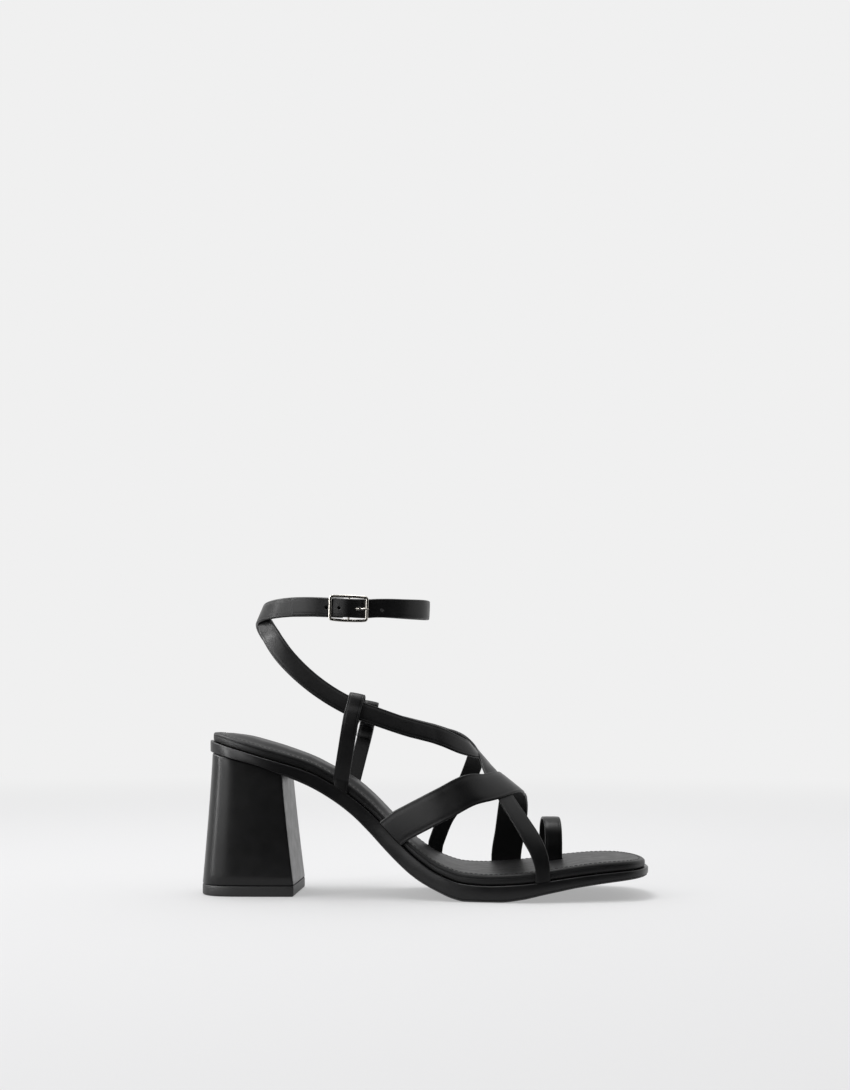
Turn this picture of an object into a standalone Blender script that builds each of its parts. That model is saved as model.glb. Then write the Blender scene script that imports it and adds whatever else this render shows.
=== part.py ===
"""Strappy block-heel sandal, right shoe, EU 37. Metres, +X to the toe, +Y medial, +Z up.

The origin is the centre of the heel top piece's face on the floor. Tables are in
millimetres of the sample size and are graded by the sizes below.
"""
import math

import bmesh
import bpy
import numpy as np

# sizes
SHOE_LENGTH = 0.2347
BALL_WIDTH = 0.0771
HEEL_RISE = 0.0752
INSOLE_THICKNESS = 0.0055
INSOLE_INSET = 0.0017
HEEL_BASE_LENGTH = 0.0514
HEEL_BASE_WIDTH = 0.0444
HEEL_NECK_LENGTH = 0.0395
HEEL_NECK_WIDTH = 0.0430
HEEL_LEAN = 0.0055
TOP_PIECE_THICKNESS = 0.0057
STRAP_WIDTH = 0.0102
STRAP_THICKNESS = 0.0016
WIDE_STRAP_WIDTH = 0.0170
SIDE_LOOP_WIDTH = 0.0083
TOE_LOOP_WIDTH = 0.0094
LOOP_THICKNESS = 0.0014
LOOP_SLACK = 0.0010
ANKLE_DEPTH = 0.0901
ANKLE_WIDTH = 0.0580
ANKLE_HEIGHT = 0.1520
INSTEP_HEIGHT = 0.0745
TOE_LOOP_HEIGHT = 0.0219
TOE_LOOP_SPAN = 0.0295
TOE_SLOT_DEPTH = 0.0034
BUCKLE_LENGTH = 0.0204
BUCKLE_BAR = 0.0015
BUCKLE_CORNER = 0.0016
MIDDLE_BAR = 0.0012
PRONG_WIRE = 0.0010
PRONG_HOLE_LENGTH = 0.0042
PRONG_HOLE_WIDTH = 0.0022
CLEARANCE = 0.0003

MM = 0.001
LONG = SHOE_LENGTH / 0.2347
BROAD = BALL_WIDTH / 0.0771
RISE = HEEL_RISE / 0.0752
INSTEP = INSTEP_HEIGHT / 0.0745
SHANK = ANKLE_HEIGHT / 0.1520

# stations, in millimetres of the sample size, where bands stand on the side of the insole
STRAP_ONE_FOOT = 97.6
STRAP_TWO_FOOT = 155.8
WIDE_STRAP_REAR_FOOT = 77.0
WIDE_STRAP_FRONT_FOOT = 138.0
TOE_LOOP_FOOT = 161.2
TOE_LOOP_PLACE = 162.2
# keepers: ankle angle, height and tilt where each clasps the instep strap, station of its foot
LATERAL_KEEPER = (-85.3, 98.7, 25, 50.6)
MEDIAL_KEEPER = (83.7, 95.6, 28, 52.8)
# buckle: ankle angle and height of its middle, tilt in degrees, radius of its bend, offsets of its parts
BUCKLE_TURN = -85.2
BUCKLE_HEIGHT = 150.6
BUCKLE_TILT = 2.0
BUCKLE_BEND = 0.078
MIDDLE_OFF = 0.0016
PRONG_PLACE = 0.0058

# along, height of the line between insole and outsole
GROOVE = [(-24, 83.2), (-16.6, 81.1), (8.2, 73.9), (34.4, 65.6), (44.7, 60.2), (55, 53.6), (65.3, 45.4),
          (73.2, 37.7), (81.6, 29.3), (88.9, 22.6), (102.8, 13.4), (115.7, 9.3), (127.9, 8.6), (143, 9.3),
          (156.7, 10.8), (165, 12.0), (185, 14.3), (203, 15.6), (215, 16.1)]
# along, height of the outsole's underside
UNDER = [(-24, 77.1), (-16.6, 75.0), (8, 68.8), (19.7, 64.2), (34.4, 57.8), (46.6, 50.5), (56.8, 42.7),
         (65.9, 33.8), (73, 26.2), (79.3, 19.9), (86.5, 13.5), (92.4, 9.4), (102.5, 4.2), (110, 1.2),
         (116, 0), (134, 0), (145, 1.3), (156, 3.7), (165, 5.5), (172.8, 7.0), (185, 8.7), (197.6, 10.1),
         (206, 10.9), (213, 11.4)]
# along, insole's thickness at its edge, how much its middle stands above the edge
PAD = [(-24, 4.1, 0.2), (-18, 4.9, 0.5), (-11, 5.5, 1.1), (0, 5.6, 2.3), (13, 5.5, 2.6), (25, 5.5, 2.2),
       (40, 5.5, 1.9), (52, 5.7, 2.8), (62, 5.7, 3.2), (74, 5.5, 3.0), (88, 5.4, 1.5), (105, 5.3, 0.2),
       (180, 5.3, 0.2), (203, 4.5, 0.1), (213, 3.7, 0.1)]
# along, outsole edge on the lateral side, on the medial side
PLAN = [(-22, 4, 4), (-20.7, 9.5, 9.5), (-17.6, 14.5, 14.5), (-13, 18.8, 18.8), (-6.5, 22.5, 22.5),
        (0, 24.6, 24.6), (10, 25.6, 25.6), (20, 24.9, 24.7), (35, 23, 22), (50, 21.8, 20),
        (65, 22.4, 19.5), (80, 25.6, 21), (95, 30.5, 25), (110, 35, 30), (125, 37.8, 34.5),
        (140, 38.8, 37.5), (150, 38.4, 38.3), (160, 37, 38.4), (175, 34, 37.3), (190, 30.3, 35.2),
        (199, 27.4, 32.6), (204, 24.4, 28.2), (207.5, 20.6, 22.8), (210, 16, 17), (211.8, 10.5, 10.5),
        (212.7, 4, 4)]
ROWS = [-22, -21.5, -20.5, -18.9, -16.6, -13.5, -9.4, -4, 4, 12, 20, 28, 36, 43, 50, 56, 62, 68, 74, 80,
        86, 92, 98, 104, 110, 116, 122, 128, 134, 140, 146, 152, 158, 164, 170, 177, 184, 191, 196, 200.5,
        204, 206.8, 209, 210.8, 212, 212.7]
# along, height of the top of the foot
DORSAL = [(60, 140), (80, 124), (95, 112), (105, 100), (112, 88), (116, 81.8), (118, 78.9), (121, 74.4),
          (123, 71.4), (126, 67.2), (132, 62.9), (139, 58), (146, 52), (155, 46), (165, 40.5), (180, 35),
          (205, 30)]
# share of the way along a strap, share of its full width
TAPER_ONE = [(0, 0.88), (0.12, 0.97), (0.2, 1), (0.84, 1), (0.9, 0.95), (1, 0.93)]
TAPER_TWO = [(0, 0.75), (0.05, 0.93), (0.12, 1), (1, 1)]
EVEN = [(0, 1), (1, 1)]
# height, front of the ankle, back of it, half its width
SHIN = [(60, 130, -8, 27), (70, 124, -6.6, 27), (76, 120, -5.8, 27), (84, 115.5, -4.7, 27),
        (95, 110, -3.2, 27.4), (110, 104, -0.2, 28), (120, 101, 2.2, 28.2), (135, 97.5, 5.6, 28.6),
        (145, 95.6, 7.2, 28.9), (155, 94, 8.6, 29.1), (170, 92, 9.5, 29.5)]


def smooth(table, x, column=1):
    """Value at x of a curve through the table's points that doesn't overshoot them."""
    xs = np.array([row[0] for row in table], float)
    ys = np.array([row[column] for row in table], float)
    h = np.diff(xs)
    d = np.diff(ys) / h
    m = np.zeros(len(xs))
    m[0], m[-1] = d[0], d[-1]
    for i in range(1, len(xs) - 1):
        if d[i - 1] * d[i] > 0:
            a, b = 2 * h[i] + h[i - 1], h[i] + 2 * h[i - 1]
            m[i] = (a + b) / (a / d[i - 1] + b / d[i])
    x = min(max(x, xs[0]), xs[-1])
    k = int(min(max(np.searchsorted(xs, x) - 1, 0), len(h) - 1))
    s = (x - xs[k]) / h[k]
    rise = (1 + 2 * s) * (1 - s) ** 2 * ys[k] + s * s * (3 - 2 * s) * ys[k + 1]
    return rise + s * (1 - s) * h[k] * ((1 - s) * m[k] - s * m[k + 1])


def rowed(x):
    """Sample-size station, in millimetres, of a position along the shoe."""
    return x / (MM * LONG)


def groove(x):
    z = smooth(GROOVE, rowed(x))
    return MM * (8.6 + (z - 8.6) * (RISE if rowed(x) < 128 else 1))


def under(x):
    z = smooth(UNDER, rowed(x))
    return MM * z * (RISE if rowed(x) < 128 else 1)


def thick(x):
    """Height of the insole's edge above the groove."""
    return INSOLE_THICKNESS / 0.0055 * MM * smooth(PAD, rowed(x))


def crown(x):
    """Height of the insole's padded middle above the groove."""
    return thick(x) + INSOLE_THICKNESS / 0.0055 * MM * smooth(PAD, rowed(x), 2)


def edge(x, side):
    """Outsole edge: side -1 is lateral, 1 is medial."""
    return side * MM * BROAD * smooth(PLAN, rowed(x), 1 if side < 0 else 2)


def wall(x, side):
    """Side of the insole."""
    return edge(x, side) - side * INSOLE_INSET


def foot(mm, degrees):
    """Point of the last's foot: station in millimetres, angle from the top, negative to the lateral side."""
    x, a = mm * MM * LONG, math.radians(degrees)
    side = -1 if degrees < 0 else 1
    low = groove(x) + thick(x)
    sample = smooth(GROOVE, mm) + 5.5
    high = MM * INSTEP * (smooth(DORSAL, mm) - sample)
    return np.array([x, wall(x, side) * abs(math.sin(a)) ** 0.91, low + high * abs(math.cos(a)) ** 0.91])


def ankle(degrees, mm):
    """Point of the last's ankle: angle from the front, negative to the lateral side, height."""
    a = math.radians(degrees)
    front, back, half = (smooth(SHIN, mm, k) for k in (1, 2, 3))
    middle = (front + back) / 2 * MM * LONG
    reach = (front - back) / 2 * MM * ANKLE_DEPTH / 0.0901
    across = half * MM * ANKLE_WIDTH / 0.0580
    base = 0.0745 * (RISE - 1) * 0.25
    return np.array([middle + math.copysign(reach * abs(math.cos(a)) ** 0.91, math.cos(a)),
                     math.copysign(across * abs(math.sin(a)) ** 0.91, math.sin(a)), mm * MM * SHANK + base])


def unit(v):
    return np.asarray(v, float) / max(float(np.linalg.norm(v)), 1e-12)


def outward(form, u, v):
    """Normal of a form of the last at u, v."""
    p = form(u, v)
    n = unit(np.cross(form(u + 0.5, v) - form(u - 0.5, v), form(u, v + 0.5) - form(u, v - 0.5)))
    heart = np.array([p[0], 0, groove(p[0]) + 0.02]) if form is foot else np.array([0.05 * LONG, 0, p[2]])
    return n if n @ (p - heart) > 0 else -n


def spline(points, spacing):
    """Points at an even spacing on a smooth curve through the given ones, with their place along them."""
    p = np.array(points, float)
    knots = np.concatenate([[0], np.cumsum(np.maximum(np.linalg.norm(np.diff(p, axis=0), axis=1), 1e-6))])
    slope = np.gradient(p, knots, axis=0)
    fine = []
    for i in range(len(p) - 1):
        h = knots[i + 1] - knots[i]
        for s in np.linspace(0, 1, 24, endpoint=False):
            fine.append((1 + 2 * s) * (1 - s) ** 2 * p[i] + s * (1 - s) ** 2 * h * slope[i]
                        + s * s * (3 - 2 * s) * p[i + 1] - s * s * (1 - s) * h * slope[i + 1])
    fine.append(p[-1])
    fine = np.array(fine)
    run = np.concatenate([[0], np.cumsum(np.linalg.norm(np.diff(fine, axis=0), axis=1))])
    count = max(2, int(round(run[-1] / spacing)) + 1)
    at = np.linspace(0, run[-1], count)
    share = np.interp(at, run, np.linspace(0, len(p) - 1, len(fine)))
    return np.array([[np.interp(s, run, fine[:, k]) for k in range(3)] for s in at]), share


def mesh_object(name, vertices, faces, colour, rough, metal=0.0):
    bm = bmesh.new()
    verts = [bm.verts.new(tuple(float(c) for c in v)) for v in vertices]
    for face in faces:
        bm.faces.new([verts[i] for i in face])
    bmesh.ops.recalc_face_normals(bm, faces=bm.faces)
    mesh = bpy.data.meshes.new(name)
    bm.to_mesh(mesh)
    bm.free()
    thing = bpy.data.objects.new(name, mesh)
    bpy.context.scene.collection.objects.link(thing)
    material = bpy.data.materials.new(name)
    material.use_nodes = True
    shader = material.node_tree.nodes["Principled BSDF"]
    shader.inputs["Base Color"].default_value = (*colour, 1)
    shader.inputs["Roughness"].default_value = rough
    shader.inputs["Metallic"].default_value = metal
    mesh.materials.append(material)
    return thing


LEATHER = ((0.012, 0.012, 0.013), 0.42)
RUBBER = ((0.015, 0.015, 0.016), 0.6)
NICKEL = ((0.75, 0.74, 0.72), 0.18, 1.0)


def stack(name, rings, look):
    """Solid of closed rings one above another. Each runs up the lateral side and down the medial one."""
    n = len(rings[0])
    vertices = [v for ring in rings for v in ring]
    faces = []
    for k in range(len(rings) - 1):
        for i in range(n):
            j = (i + 1) % n
            faces.append((k * n + i, k * n + j, (k + 1) * n + j, (k + 1) * n + i))
    for base in (0, (len(rings) - 1) * n):
        for i in range(n // 2 - 1):
            faces.append((base + i, base + i + 1, base + n - 2 - i, base + n - 1 - i))
    return mesh_object(name, vertices, faces, *look)


def inset(loop, distance):
    """The plan loop moved inward by a distance."""
    p = np.array(loop)[:, :2]
    before, after = np.roll(p, 1, axis=0), np.roll(p, -1, axis=0)
    out = []
    for a, b, c in zip(before, p, after):
        d, e = unit(b - a), unit(c - b)
        across = unit(np.array([-d[1], d[0]]) + np.array([-e[1], e[0]]))
        out.append(b + across * distance / max(0.6, float(across @ np.array([-d[1], d[0]]))))
    return np.array(out)


def outline(xs, lateral, medial):
    return [(x, lateral(x)) for x in xs] + [(x, medial(x)) for x in reversed(xs)]


def layer(name, levels, look):
    """Sole layer: levels of inset and height function."""
    xs = [mm * MM * LONG for mm in ROWS]
    loop = outline(xs, lambda x: edge(x, -1), lambda x: edge(x, 1))
    rings = []
    for distance, height in levels:
        ring = inset(loop, distance)
        rings.append([(x, y, height(x)) for x, y in ring])
    return stack(name, rings, look)


def outsole():
    half = CLEARANCE / 2
    return layer("outsole", [
        (2.4 * MM, under),
        (0.8 * MM, lambda x: under(x) + 0.4 * MM),
        (0.1 * MM, lambda x: under(x) + 1.2 * MM),
        (0, lambda x: groove(x) - half - 1.4 * MM),
        (0.3 * MM, lambda x: groove(x) - half - 0.4 * MM),
        (1.1 * MM, lambda x: groove(x) - half)], LEATHER)


def insole():
    half, d = CLEARANCE / 2, INSOLE_INSET
    return layer("insole", [
        (d + 1.2 * MM, lambda x: groove(x) + half),
        (d + 0.2 * MM, lambda x: groove(x) + half + 0.6 * MM),
        (d, lambda x: groove(x) + thick(x) - 1.9 * MM),
        (d + 0.5 * MM, lambda x: groove(x) + thick(x) - 0.8 * MM),
        (d + 1.6 * MM, lambda x: groove(x) + thick(x)),
        (d + 6 * MM, lambda x: groove(x) + 0.45 * thick(x) + 0.55 * crown(x)),
        (d + 12.5 * MM, lambda x: groove(x) + crown(x))], LEATHER)


def heel_loop(share):
    """Plan of the heel at a share of its height: 0 is the base, 1 is under the outsole."""
    down = 1 - share
    back = -HEEL_BASE_LENGTH / 2 + HEEL_LEAN * (1 - down ** 1.2)
    neck_front = -HEEL_BASE_LENGTH / 2 + HEEL_LEAN + HEEL_NECK_LENGTH
    front = neck_front + (HEEL_BASE_LENGTH / 2 - neck_front) * down ** 1.1
    half = (HEEL_NECK_WIDTH + (HEEL_BASE_WIDTH - HEEL_NECK_WIDTH) * down ** 1.35) / 2
    shoulder = back + 0.42 * (front - back)
    tip = 0.6 * MM

    def side(x):
        if x < shoulder:
            t = (shoulder - x) / (shoulder - back)
            return half * max(1 - t ** 2.9, 0) ** (1 / 2.9)
        t = (x - shoulder) / (front - shoulder)
        return half * (1 - 0.045 * t * t) - (tip if x > front - 1e-9 else 0)
    steps = [0.0, 0.006, 0.022, 0.05, 0.10, 0.17, 0.26, 0.36, 0.50, 0.66, 0.82, 1.0]
    xs = [back + (front - back - tip) * s for s in steps] + [front]
    wide = [max(side(x), 0.22 * half) if i else 0.22 * half for i, x in enumerate(xs)]
    return [(x, -w) for x, w in zip(xs, wide)] + [(x, w) for x, w in reversed(list(zip(xs, wide)))]


def heel_block():
    low = TOP_PIECE_THICKNESS + CLEARANCE
    rings = []
    for share in (0.0, 0.2, 0.4, 0.6, 0.8, 1.0):
        loop = heel_loop(share)
        ring = []
        for x, y in loop:
            high = under(x) - CLEARANCE
            ring.append((x, y, low + (high - low) * share))
        rings.append(ring)
    return stack("heel_block", rings, LEATHER)


def heel_top_piece():
    loop = heel_loop(0.0)
    rings = []
    for shrink, z in ((0.8 * MM, 0), (0, 0.8 * MM), (0, TOP_PIECE_THICKNESS)):
        rings.append([(x, y, z) for x, y in inset(loop, shrink)])
    return stack("heel_top_piece", rings, RUBBER)


def footing(mm, side, sense, section, thick_band):
    """End ring of a band on the side of the insole, standing just over the outsole along the groove."""
    centre = mm * MM * LONG
    rise = (groove(centre + 0.001) - groove(centre - 0.001)) / 0.002
    ring = []
    for u, v in section:
        x = centre + sense * u / math.hypot(1, rise)
        out = side * (CLEARANCE + thick_band / 2 + v)
        ring.append(np.array([x, wall(x, side) + out, groove(x) + CLEARANCE]))
    return ring


def ribbon(name, points, normals, width, band, spacing=0.0044, start=None, end=None, taper=EVEN):
    """Leather band swept along points, facing along the normals, with its four edges eased.

    start and end are the station and side where an end stands in the groove.
    """
    path, share = spline(points, spacing)
    places, turned = range(len(normals)), np.array(normals)
    facing = np.array([[np.interp(s, places, turned[:, k]) for k in range(3)] for s in share])
    run = np.gradient(path, axis=0)
    walked = np.linspace(0, 1, len(path))
    ease, b = band * 0.26, band / 2

    def section(along):
        a = width / 2 * np.interp(along, *zip(*taper))
        return [(a - ease, -b), (a, -b + ease), (a, b - ease), (a - ease, b),
                (-a + ease, b), (-a, b - ease), (-a, -b + ease), (-a + ease, -b)]
    rings = []
    for p, t, n, along in zip(path, run, facing, walked):
        t = unit(t)
        n = unit(n - t * (n @ t))
        across = np.cross(t, n)
        rings.append([p + across * u + n * v for u, v in section(along)])
    if start:
        rings.insert(0, footing(*start, -start[1], section(0), band))
    if end:
        rings.append(footing(*end, end[1], section(1), band))
    k = len(rings[0])
    vertices = [v for ring in rings for v in ring]
    faces = [tuple(range(k)), tuple(range((len(rings) - 1) * k, len(rings) * k))]
    for r in range(len(rings) - 1):
        for i in range(k):
            j = (i + 1) % k
            faces.append((r * k + i, r * k + j, (r + 1) * k + j, (r + 1) * k + i))
    return mesh_object(name, vertices, faces, *LEATHER)


# path rows: form of the last, its two coordinates, lift in strap thicknesses, tilt towards up in degrees
STRAP_ONE = [(foot, 98.9, 88.3, 0, 0), (foot, 100.6, 85, 0, 0), (foot, 103.9, 78.5, 0, 0),
             (foot, 110.8, 66, 0, 2), (foot, 115.6, 52, 0, 8), (foot, 118.8, 36, 0, 20),
             (foot, 120.4, 19, 0, 24), (foot, 120.2, 2, 0, 12), (ankle, -13, 76.9, 0, 4),
             (ankle, -26, 79.3, 0, 4), (ankle, -40.3, 84.1, 0, 8), (ankle, -60.3, 89.1, 0, 18),
             (ankle, -74.8, 94.3, 0, 22), (ankle, -84.5, 98.3, 0, 24), (ankle, -91.8, 102.9, 0, 30),
             (ankle, -101.4, 109.4, 0, 34), (ankle, -114, 117.9, 0, 36), (ankle, -128.7, 127.5, 0, 35),
             (ankle, -142.9, 136.3, 0, 30), (ankle, -155, 142.2, 0, 24), (ankle, -167, 146.8, 0, 19),
             (ankle, -179.9, 150.2, 0, 20), (ankle, 167, 152.8, 0, 16), (ankle, 154, 154.6, 0, 8),
             (ankle, 140, 155.6, 0, 0), (ankle, 125, 156.1, 0, 0), (ankle, 98, 156.4, 0, 0),
             (ankle, 72, 155.9, 0, -2), (ankle, 40, 154, 0, -8), (ankle, 14, 152.6, 0, -10),
             (ankle, -18, 151.7, 0, -10), (ankle, -42.6, 151.2, 0, -7), (ankle, -60, 151.1, 0, -2),
             (ankle, -68.4, 150.9, 0, 0), (ankle, -73.2, 150.6, 0, 0), (ankle, -76.2, 150.5, 0.3, 0),
             (ankle, -80.4, 150.5, 1.45, 0), (ankle, -85.2, 150.7, 2.0, 0), (ankle, -89.8, 150.9, 1.75, 0),
             (ankle, -93.8, 151.1, 1.35, 0), (ankle, -97.4, 151.3, 1.19, 0), (ankle, -105, 151.7, 1.19, 0),
             (ankle, -113, 151.9, 1.19, 0), (ankle, -122.5, 151.9, 1.19, 0)]
STRAP_TWO = [(foot, 155.4, -88.3, 0, 0), (foot, 155.0, -84, 0, 0), (foot, 153.2, -73.6, 0, 0),
             (foot, 149.6, -61.9, 0, 0), (foot, 145.5, -52.3, 0, 4), (foot, 140.4, -43.2, 0, 8),
             (foot, 134.5, -31, 0.2, 14), (foot, 128.4, -17, 0.82, 18), (foot, 124.3, -3, 0.85, 14),
             (foot, 121, 12, 0.85, 12), (ankle, 24, 80.0, 0.7, 14), (ankle, 41, 84.8, 0, 20),
             (ankle, 62.4, 89.4, 0, 26), (ankle, 78.5, 93.5, 0, 27), (ankle, 86.6, 96.9, 0, 28),
             (ankle, 95.4, 101.7, 0, 33), (ankle, 107, 108.4, 0, 36), (ankle, 121, 117.2, 0, 36),
             (ankle, 136.5, 127, 0.1, 33), (ankle, 151, 135.7, 0.7, 26), (ankle, 166, 142.0, 0.86, 18),
             (ankle, 179.9, 145.9, 0.86, 18), (ankle, -167, 148.3, 0.86, 16),
             (ankle, -154.9, 149.7, 0.86, 10), (ankle, -139.4, 151.1, 0.6, 4), (ankle, -125, 151.9, 0, 0),
             (ankle, -110, 151.8, 0, 0), (ankle, -98.4, 151.4, 0, 0), (ankle, -88.4, 150.9, 0, 0)]
WIDE_STRAP = [(foot, 83.2, -87.5, 0, 0), (foot, 93, -79.6, 0, 0), (foot, 105.9, -68.2, 0, 0),
              (foot, 118, -51.5, 0.5, 0), (foot, 128.2, -34.9, 0.86, 0), (foot, 135.6, -18, 0.86, 0),
              (foot, 139.8, 3, 0.4, 0), (foot, 141.5, 27, 0, 0), (foot, 141.2, 50, 0, 0),
              (foot, 140, 71, 0, 0), (foot, 138.4, 84, 0, 0), (foot, 138, 88.4, 0, 0)]


def rolled(n, degrees):
    """Normal n turned up by some degrees."""
    a = math.radians(degrees)
    return unit(n * math.cos(a) + np.array([0, 0, math.sin(a)]))


def strap(name, rows, width, start=None, end=None, taper=EVEN):
    points, normals = [], []
    for form, u, v, lift, tilt in rows:
        n = rolled(outward(form, u, v), tilt)
        points.append(form(u, v) + n * (CLEARANCE + (0.5 + lift) * STRAP_THICKNESS))
        normals.append(n)
    return ribbon(name, points, normals, width, STRAP_THICKNESS, start=start, end=end, taper=taper)


def apply(target, tool, operation):
    m = target.modifiers.new("step", "BOOLEAN")
    m.operation, m.solver, m.object = operation, "EXACT", tool
    dg = bpy.context.evaluated_depsgraph_get()
    mesh = bpy.data.meshes.new_from_object(target.evaluated_get(dg))
    target.modifiers.clear()
    old = target.data
    target.data = mesh
    bpy.data.meshes.remove(old)
    bpy.data.objects.remove(tool)


def fill(thing):
    """Fills the sealed hollows left between crossing straps: only the outer skin is kept."""
    bm = bmesh.new()
    bm.from_mesh(thing.data)
    left, skins = set(bm.verts), []
    while left:
        skin, edge_of = set(), [left.pop()]
        while edge_of:
            v = edge_of.pop()
            skin.add(v)
            for e in v.link_edges:
                o = e.other_vert(v)
                if o in left:
                    left.discard(o)
                    edge_of.append(o)
        skins.append(skin)
    skins.sort(key=len)
    bmesh.ops.delete(bm, geom=[v for skin in skins[:-1] for v in skin], context="VERTS")
    bm.to_mesh(thing.data)
    bm.free()


def upper():
    one = strap("upper_straps", STRAP_ONE, STRAP_WIDTH, start=(STRAP_ONE_FOOT, 1), taper=TAPER_ONE)
    two = strap("strap_two", STRAP_TWO, STRAP_WIDTH, start=(STRAP_TWO_FOOT, -1), taper=TAPER_TWO)
    wide = strap("wide_strap", WIDE_STRAP, WIDE_STRAP_WIDTH, start=(WIDE_STRAP_REAR_FOOT, -1),
                 end=(WIDE_STRAP_FRONT_FOOT, 1))
    apply(one, two, "UNION")
    apply(one, wide, "UNION")
    fill(one)
    return one


def side_loop(name, side):
    """Keeper from the groove up over the instep strap and back down inside it."""
    station, height, tilt, stand = LATERAL_KEEPER if side < 0 else MEDIAL_KEEPER
    n = rolled(outward(ankle, station, height), tilt)
    eye = ankle(station, height) + n * (CLEARANCE + STRAP_THICKNESS / 2)
    x = stand * MM * LONG
    foot_at = np.array([x, wall(x, side) + side * (CLEARANCE + LOOP_THICKNESS / 2), groove(x)])
    up = unit(eye - foot_at)
    up = unit(up - n * (up @ n))
    out = STRAP_THICKNESS / 2 + LOOP_SLACK + LOOP_THICKNESS / 2
    tall = STRAP_WIDTH / 2 + 0.8 * MM
    step = LOOP_THICKNESS + CLEARANCE
    low = eye + n * step / 2 - up * (tall + 2.6 * MM)
    shoulder = foot_at + np.array([0.3 * MM, side * 0.2 * MM, 5.2 * MM])
    down = unit(shoulder - low)
    m = unit(np.array([0, side, 0]) - down * (down[1] * side))
    top, bottom = tall - 0.6 * MM, -tall + 0.8 * MM
    rows = [(out, bottom, 0), (out, 0, 0), (out, top, 0),
            (out * 0.6, tall + out * 0.5, 1), (-out * 0.6, tall + out * 0.5, 2),
            (-out, top, 3), (-out, 0, 3), (-out, bottom, 3)]
    turns = [n, unit(n * 0.75 + up), unit(-n * 0.75 + up), -n]
    points = [shoulder, shoulder * 0.5 + low * 0.5 + m * 0.4 * MM, low]
    normals = [unit([0, side, 0]), m, unit(m + n)]
    for a, b, turn in rows:
        points.append(eye + n * a + up * b)
        normals.append(turns[turn])
    points += [low - m * step, low - m * step + down * 7.5 * MM]
    normals += [-unit(m + n), -m]
    return ribbon(name, points, normals, SIDE_LOOP_WIDTH, LOOP_THICKNESS, spacing=1.1 * MM,
                  start=(stand, side))


def toe_loop():
    """Arch round the big toe, its inner leg standing in a slot of the insole."""
    x = TOE_LOOP_PLACE * MM * LONG
    outer = wall(x, 1) + CLEARANCE + LOOP_THICKNESS / 2
    inner = outer - TOE_LOOP_SPAN
    top = groove(x) + INSOLE_THICKNESS
    high = TOE_LOOP_HEIGHT
    rows = [(0, -TOE_SLOT_DEPTH + 0.5 * MM), (-0.002, 0.12 * high), (-0.008, 0.45 * high),
            (0.07, 0.78 * high), (0.26, 0.96 * high), (0.5, 1.0 * high), (0.74, 0.94 * high),
            (0.93, 0.74 * high), (1.005, 0.45 * high), (1.0, 0.04 * high)]
    points = [(x + (1 - 2 * s) * MM, inner + (outer - inner) * s, top + z) for s, z in rows]
    middle = np.array([x, (inner + outer) / 2, top + 0.45 * high])
    normals = []
    for p in points:
        d = np.array(p) - middle
        normals.append(unit([0, d[1], max(d[2], 0) * 1.3]))
    return ribbon("toe_loop", points, normals, TOE_LOOP_WIDTH, LOOP_THICKNESS, spacing=2.2 * MM,
                  end=(TOE_LOOP_FOOT, 1))


def toe_slot():
    """Cutter of the slot that takes the toe loop's inner leg."""
    stand = TOE_LOOP_PLACE * MM * LONG
    x = stand + MM
    y = wall(stand, 1) + CLEARANCE + LOOP_THICKNESS / 2 - TOE_LOOP_SPAN
    top = groove(x) + INSOLE_THICKNESS
    a, b = TOE_LOOP_WIDTH / 2 + CLEARANCE, LOOP_THICKNESS / 2 + CLEARANCE
    corners = [(x + sx * a, y + sy * b, top + z) for z in (-TOE_SLOT_DEPTH, 4 * MM)
               for sx, sy in ((-1, -1), (1, -1), (1, 1), (-1, 1))]
    faces = [(0, 1, 2, 3), (4, 5, 6, 7), (0, 1, 5, 4), (1, 2, 6, 5), (2, 3, 7, 6), (3, 0, 4, 7)]
    return mesh_object("toe_slot", corners, faces, *LEATHER)


def buckle_place(along, across, off):
    """Point over the lateral side of the ankle strap: along to the toe, across up, off the last."""
    p, n = ankle(BUCKLE_TURN, BUCKLE_HEIGHT), outward(ankle, BUCKLE_TURN, BUCKLE_HEIGHT)
    to_toe = unit(np.cross(n, [0, 0, 1]))
    to_toe = to_toe if to_toe[0] > 0 else -to_toe
    up = unit(np.cross(to_toe, n))
    up = up if up[2] > 0 else -up
    c, s = math.cos(math.radians(BUCKLE_TILT)), math.sin(math.radians(BUCKLE_TILT))
    return (p + to_toe * (along * c + across * s) + up * (across * c - along * s)
            + n * (off - along * along / (2 * BUCKLE_BEND)))


def tube(name, rows, radius, sides=8, closed=False):
    """Round metal wire through points, closed or with flat ends."""
    p = np.array(rows, float)
    count = len(p)
    if closed:
        run = np.roll(p, -1, axis=0) - np.roll(p, 1, axis=0)
    else:
        run = np.gradient(p, axis=0)
    face = outward(ankle, BUCKLE_TURN, BUCKLE_HEIGHT)
    rings = []
    for c, t in zip(p, run):
        t = unit(t)
        side = unit(np.cross(t, face)) if abs(t @ face) < 0.95 else unit(np.cross(t, [1, 0, 0]))
        lift = unit(np.cross(side, t))
        angles = [math.tau * (i + 0.5) / sides for i in range(sides)]
        rings.append([c + side * radius * math.cos(w) + lift * radius * math.sin(w) for w in angles])
    vertices = [v for ring in rings for v in ring]
    faces = []
    for r in range(count if closed else count - 1):
        q = (r + 1) % count
        for i in range(sides):
            j = (i + 1) % sides
            faces.append((r * sides + i, r * sides + j, q * sides + j, q * sides + i))
    if not closed:
        faces += [tuple(range(sides)), tuple(range((count - 1) * sides, count * sides))]
    return mesh_object(name, vertices, faces, *NICKEL)


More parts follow.
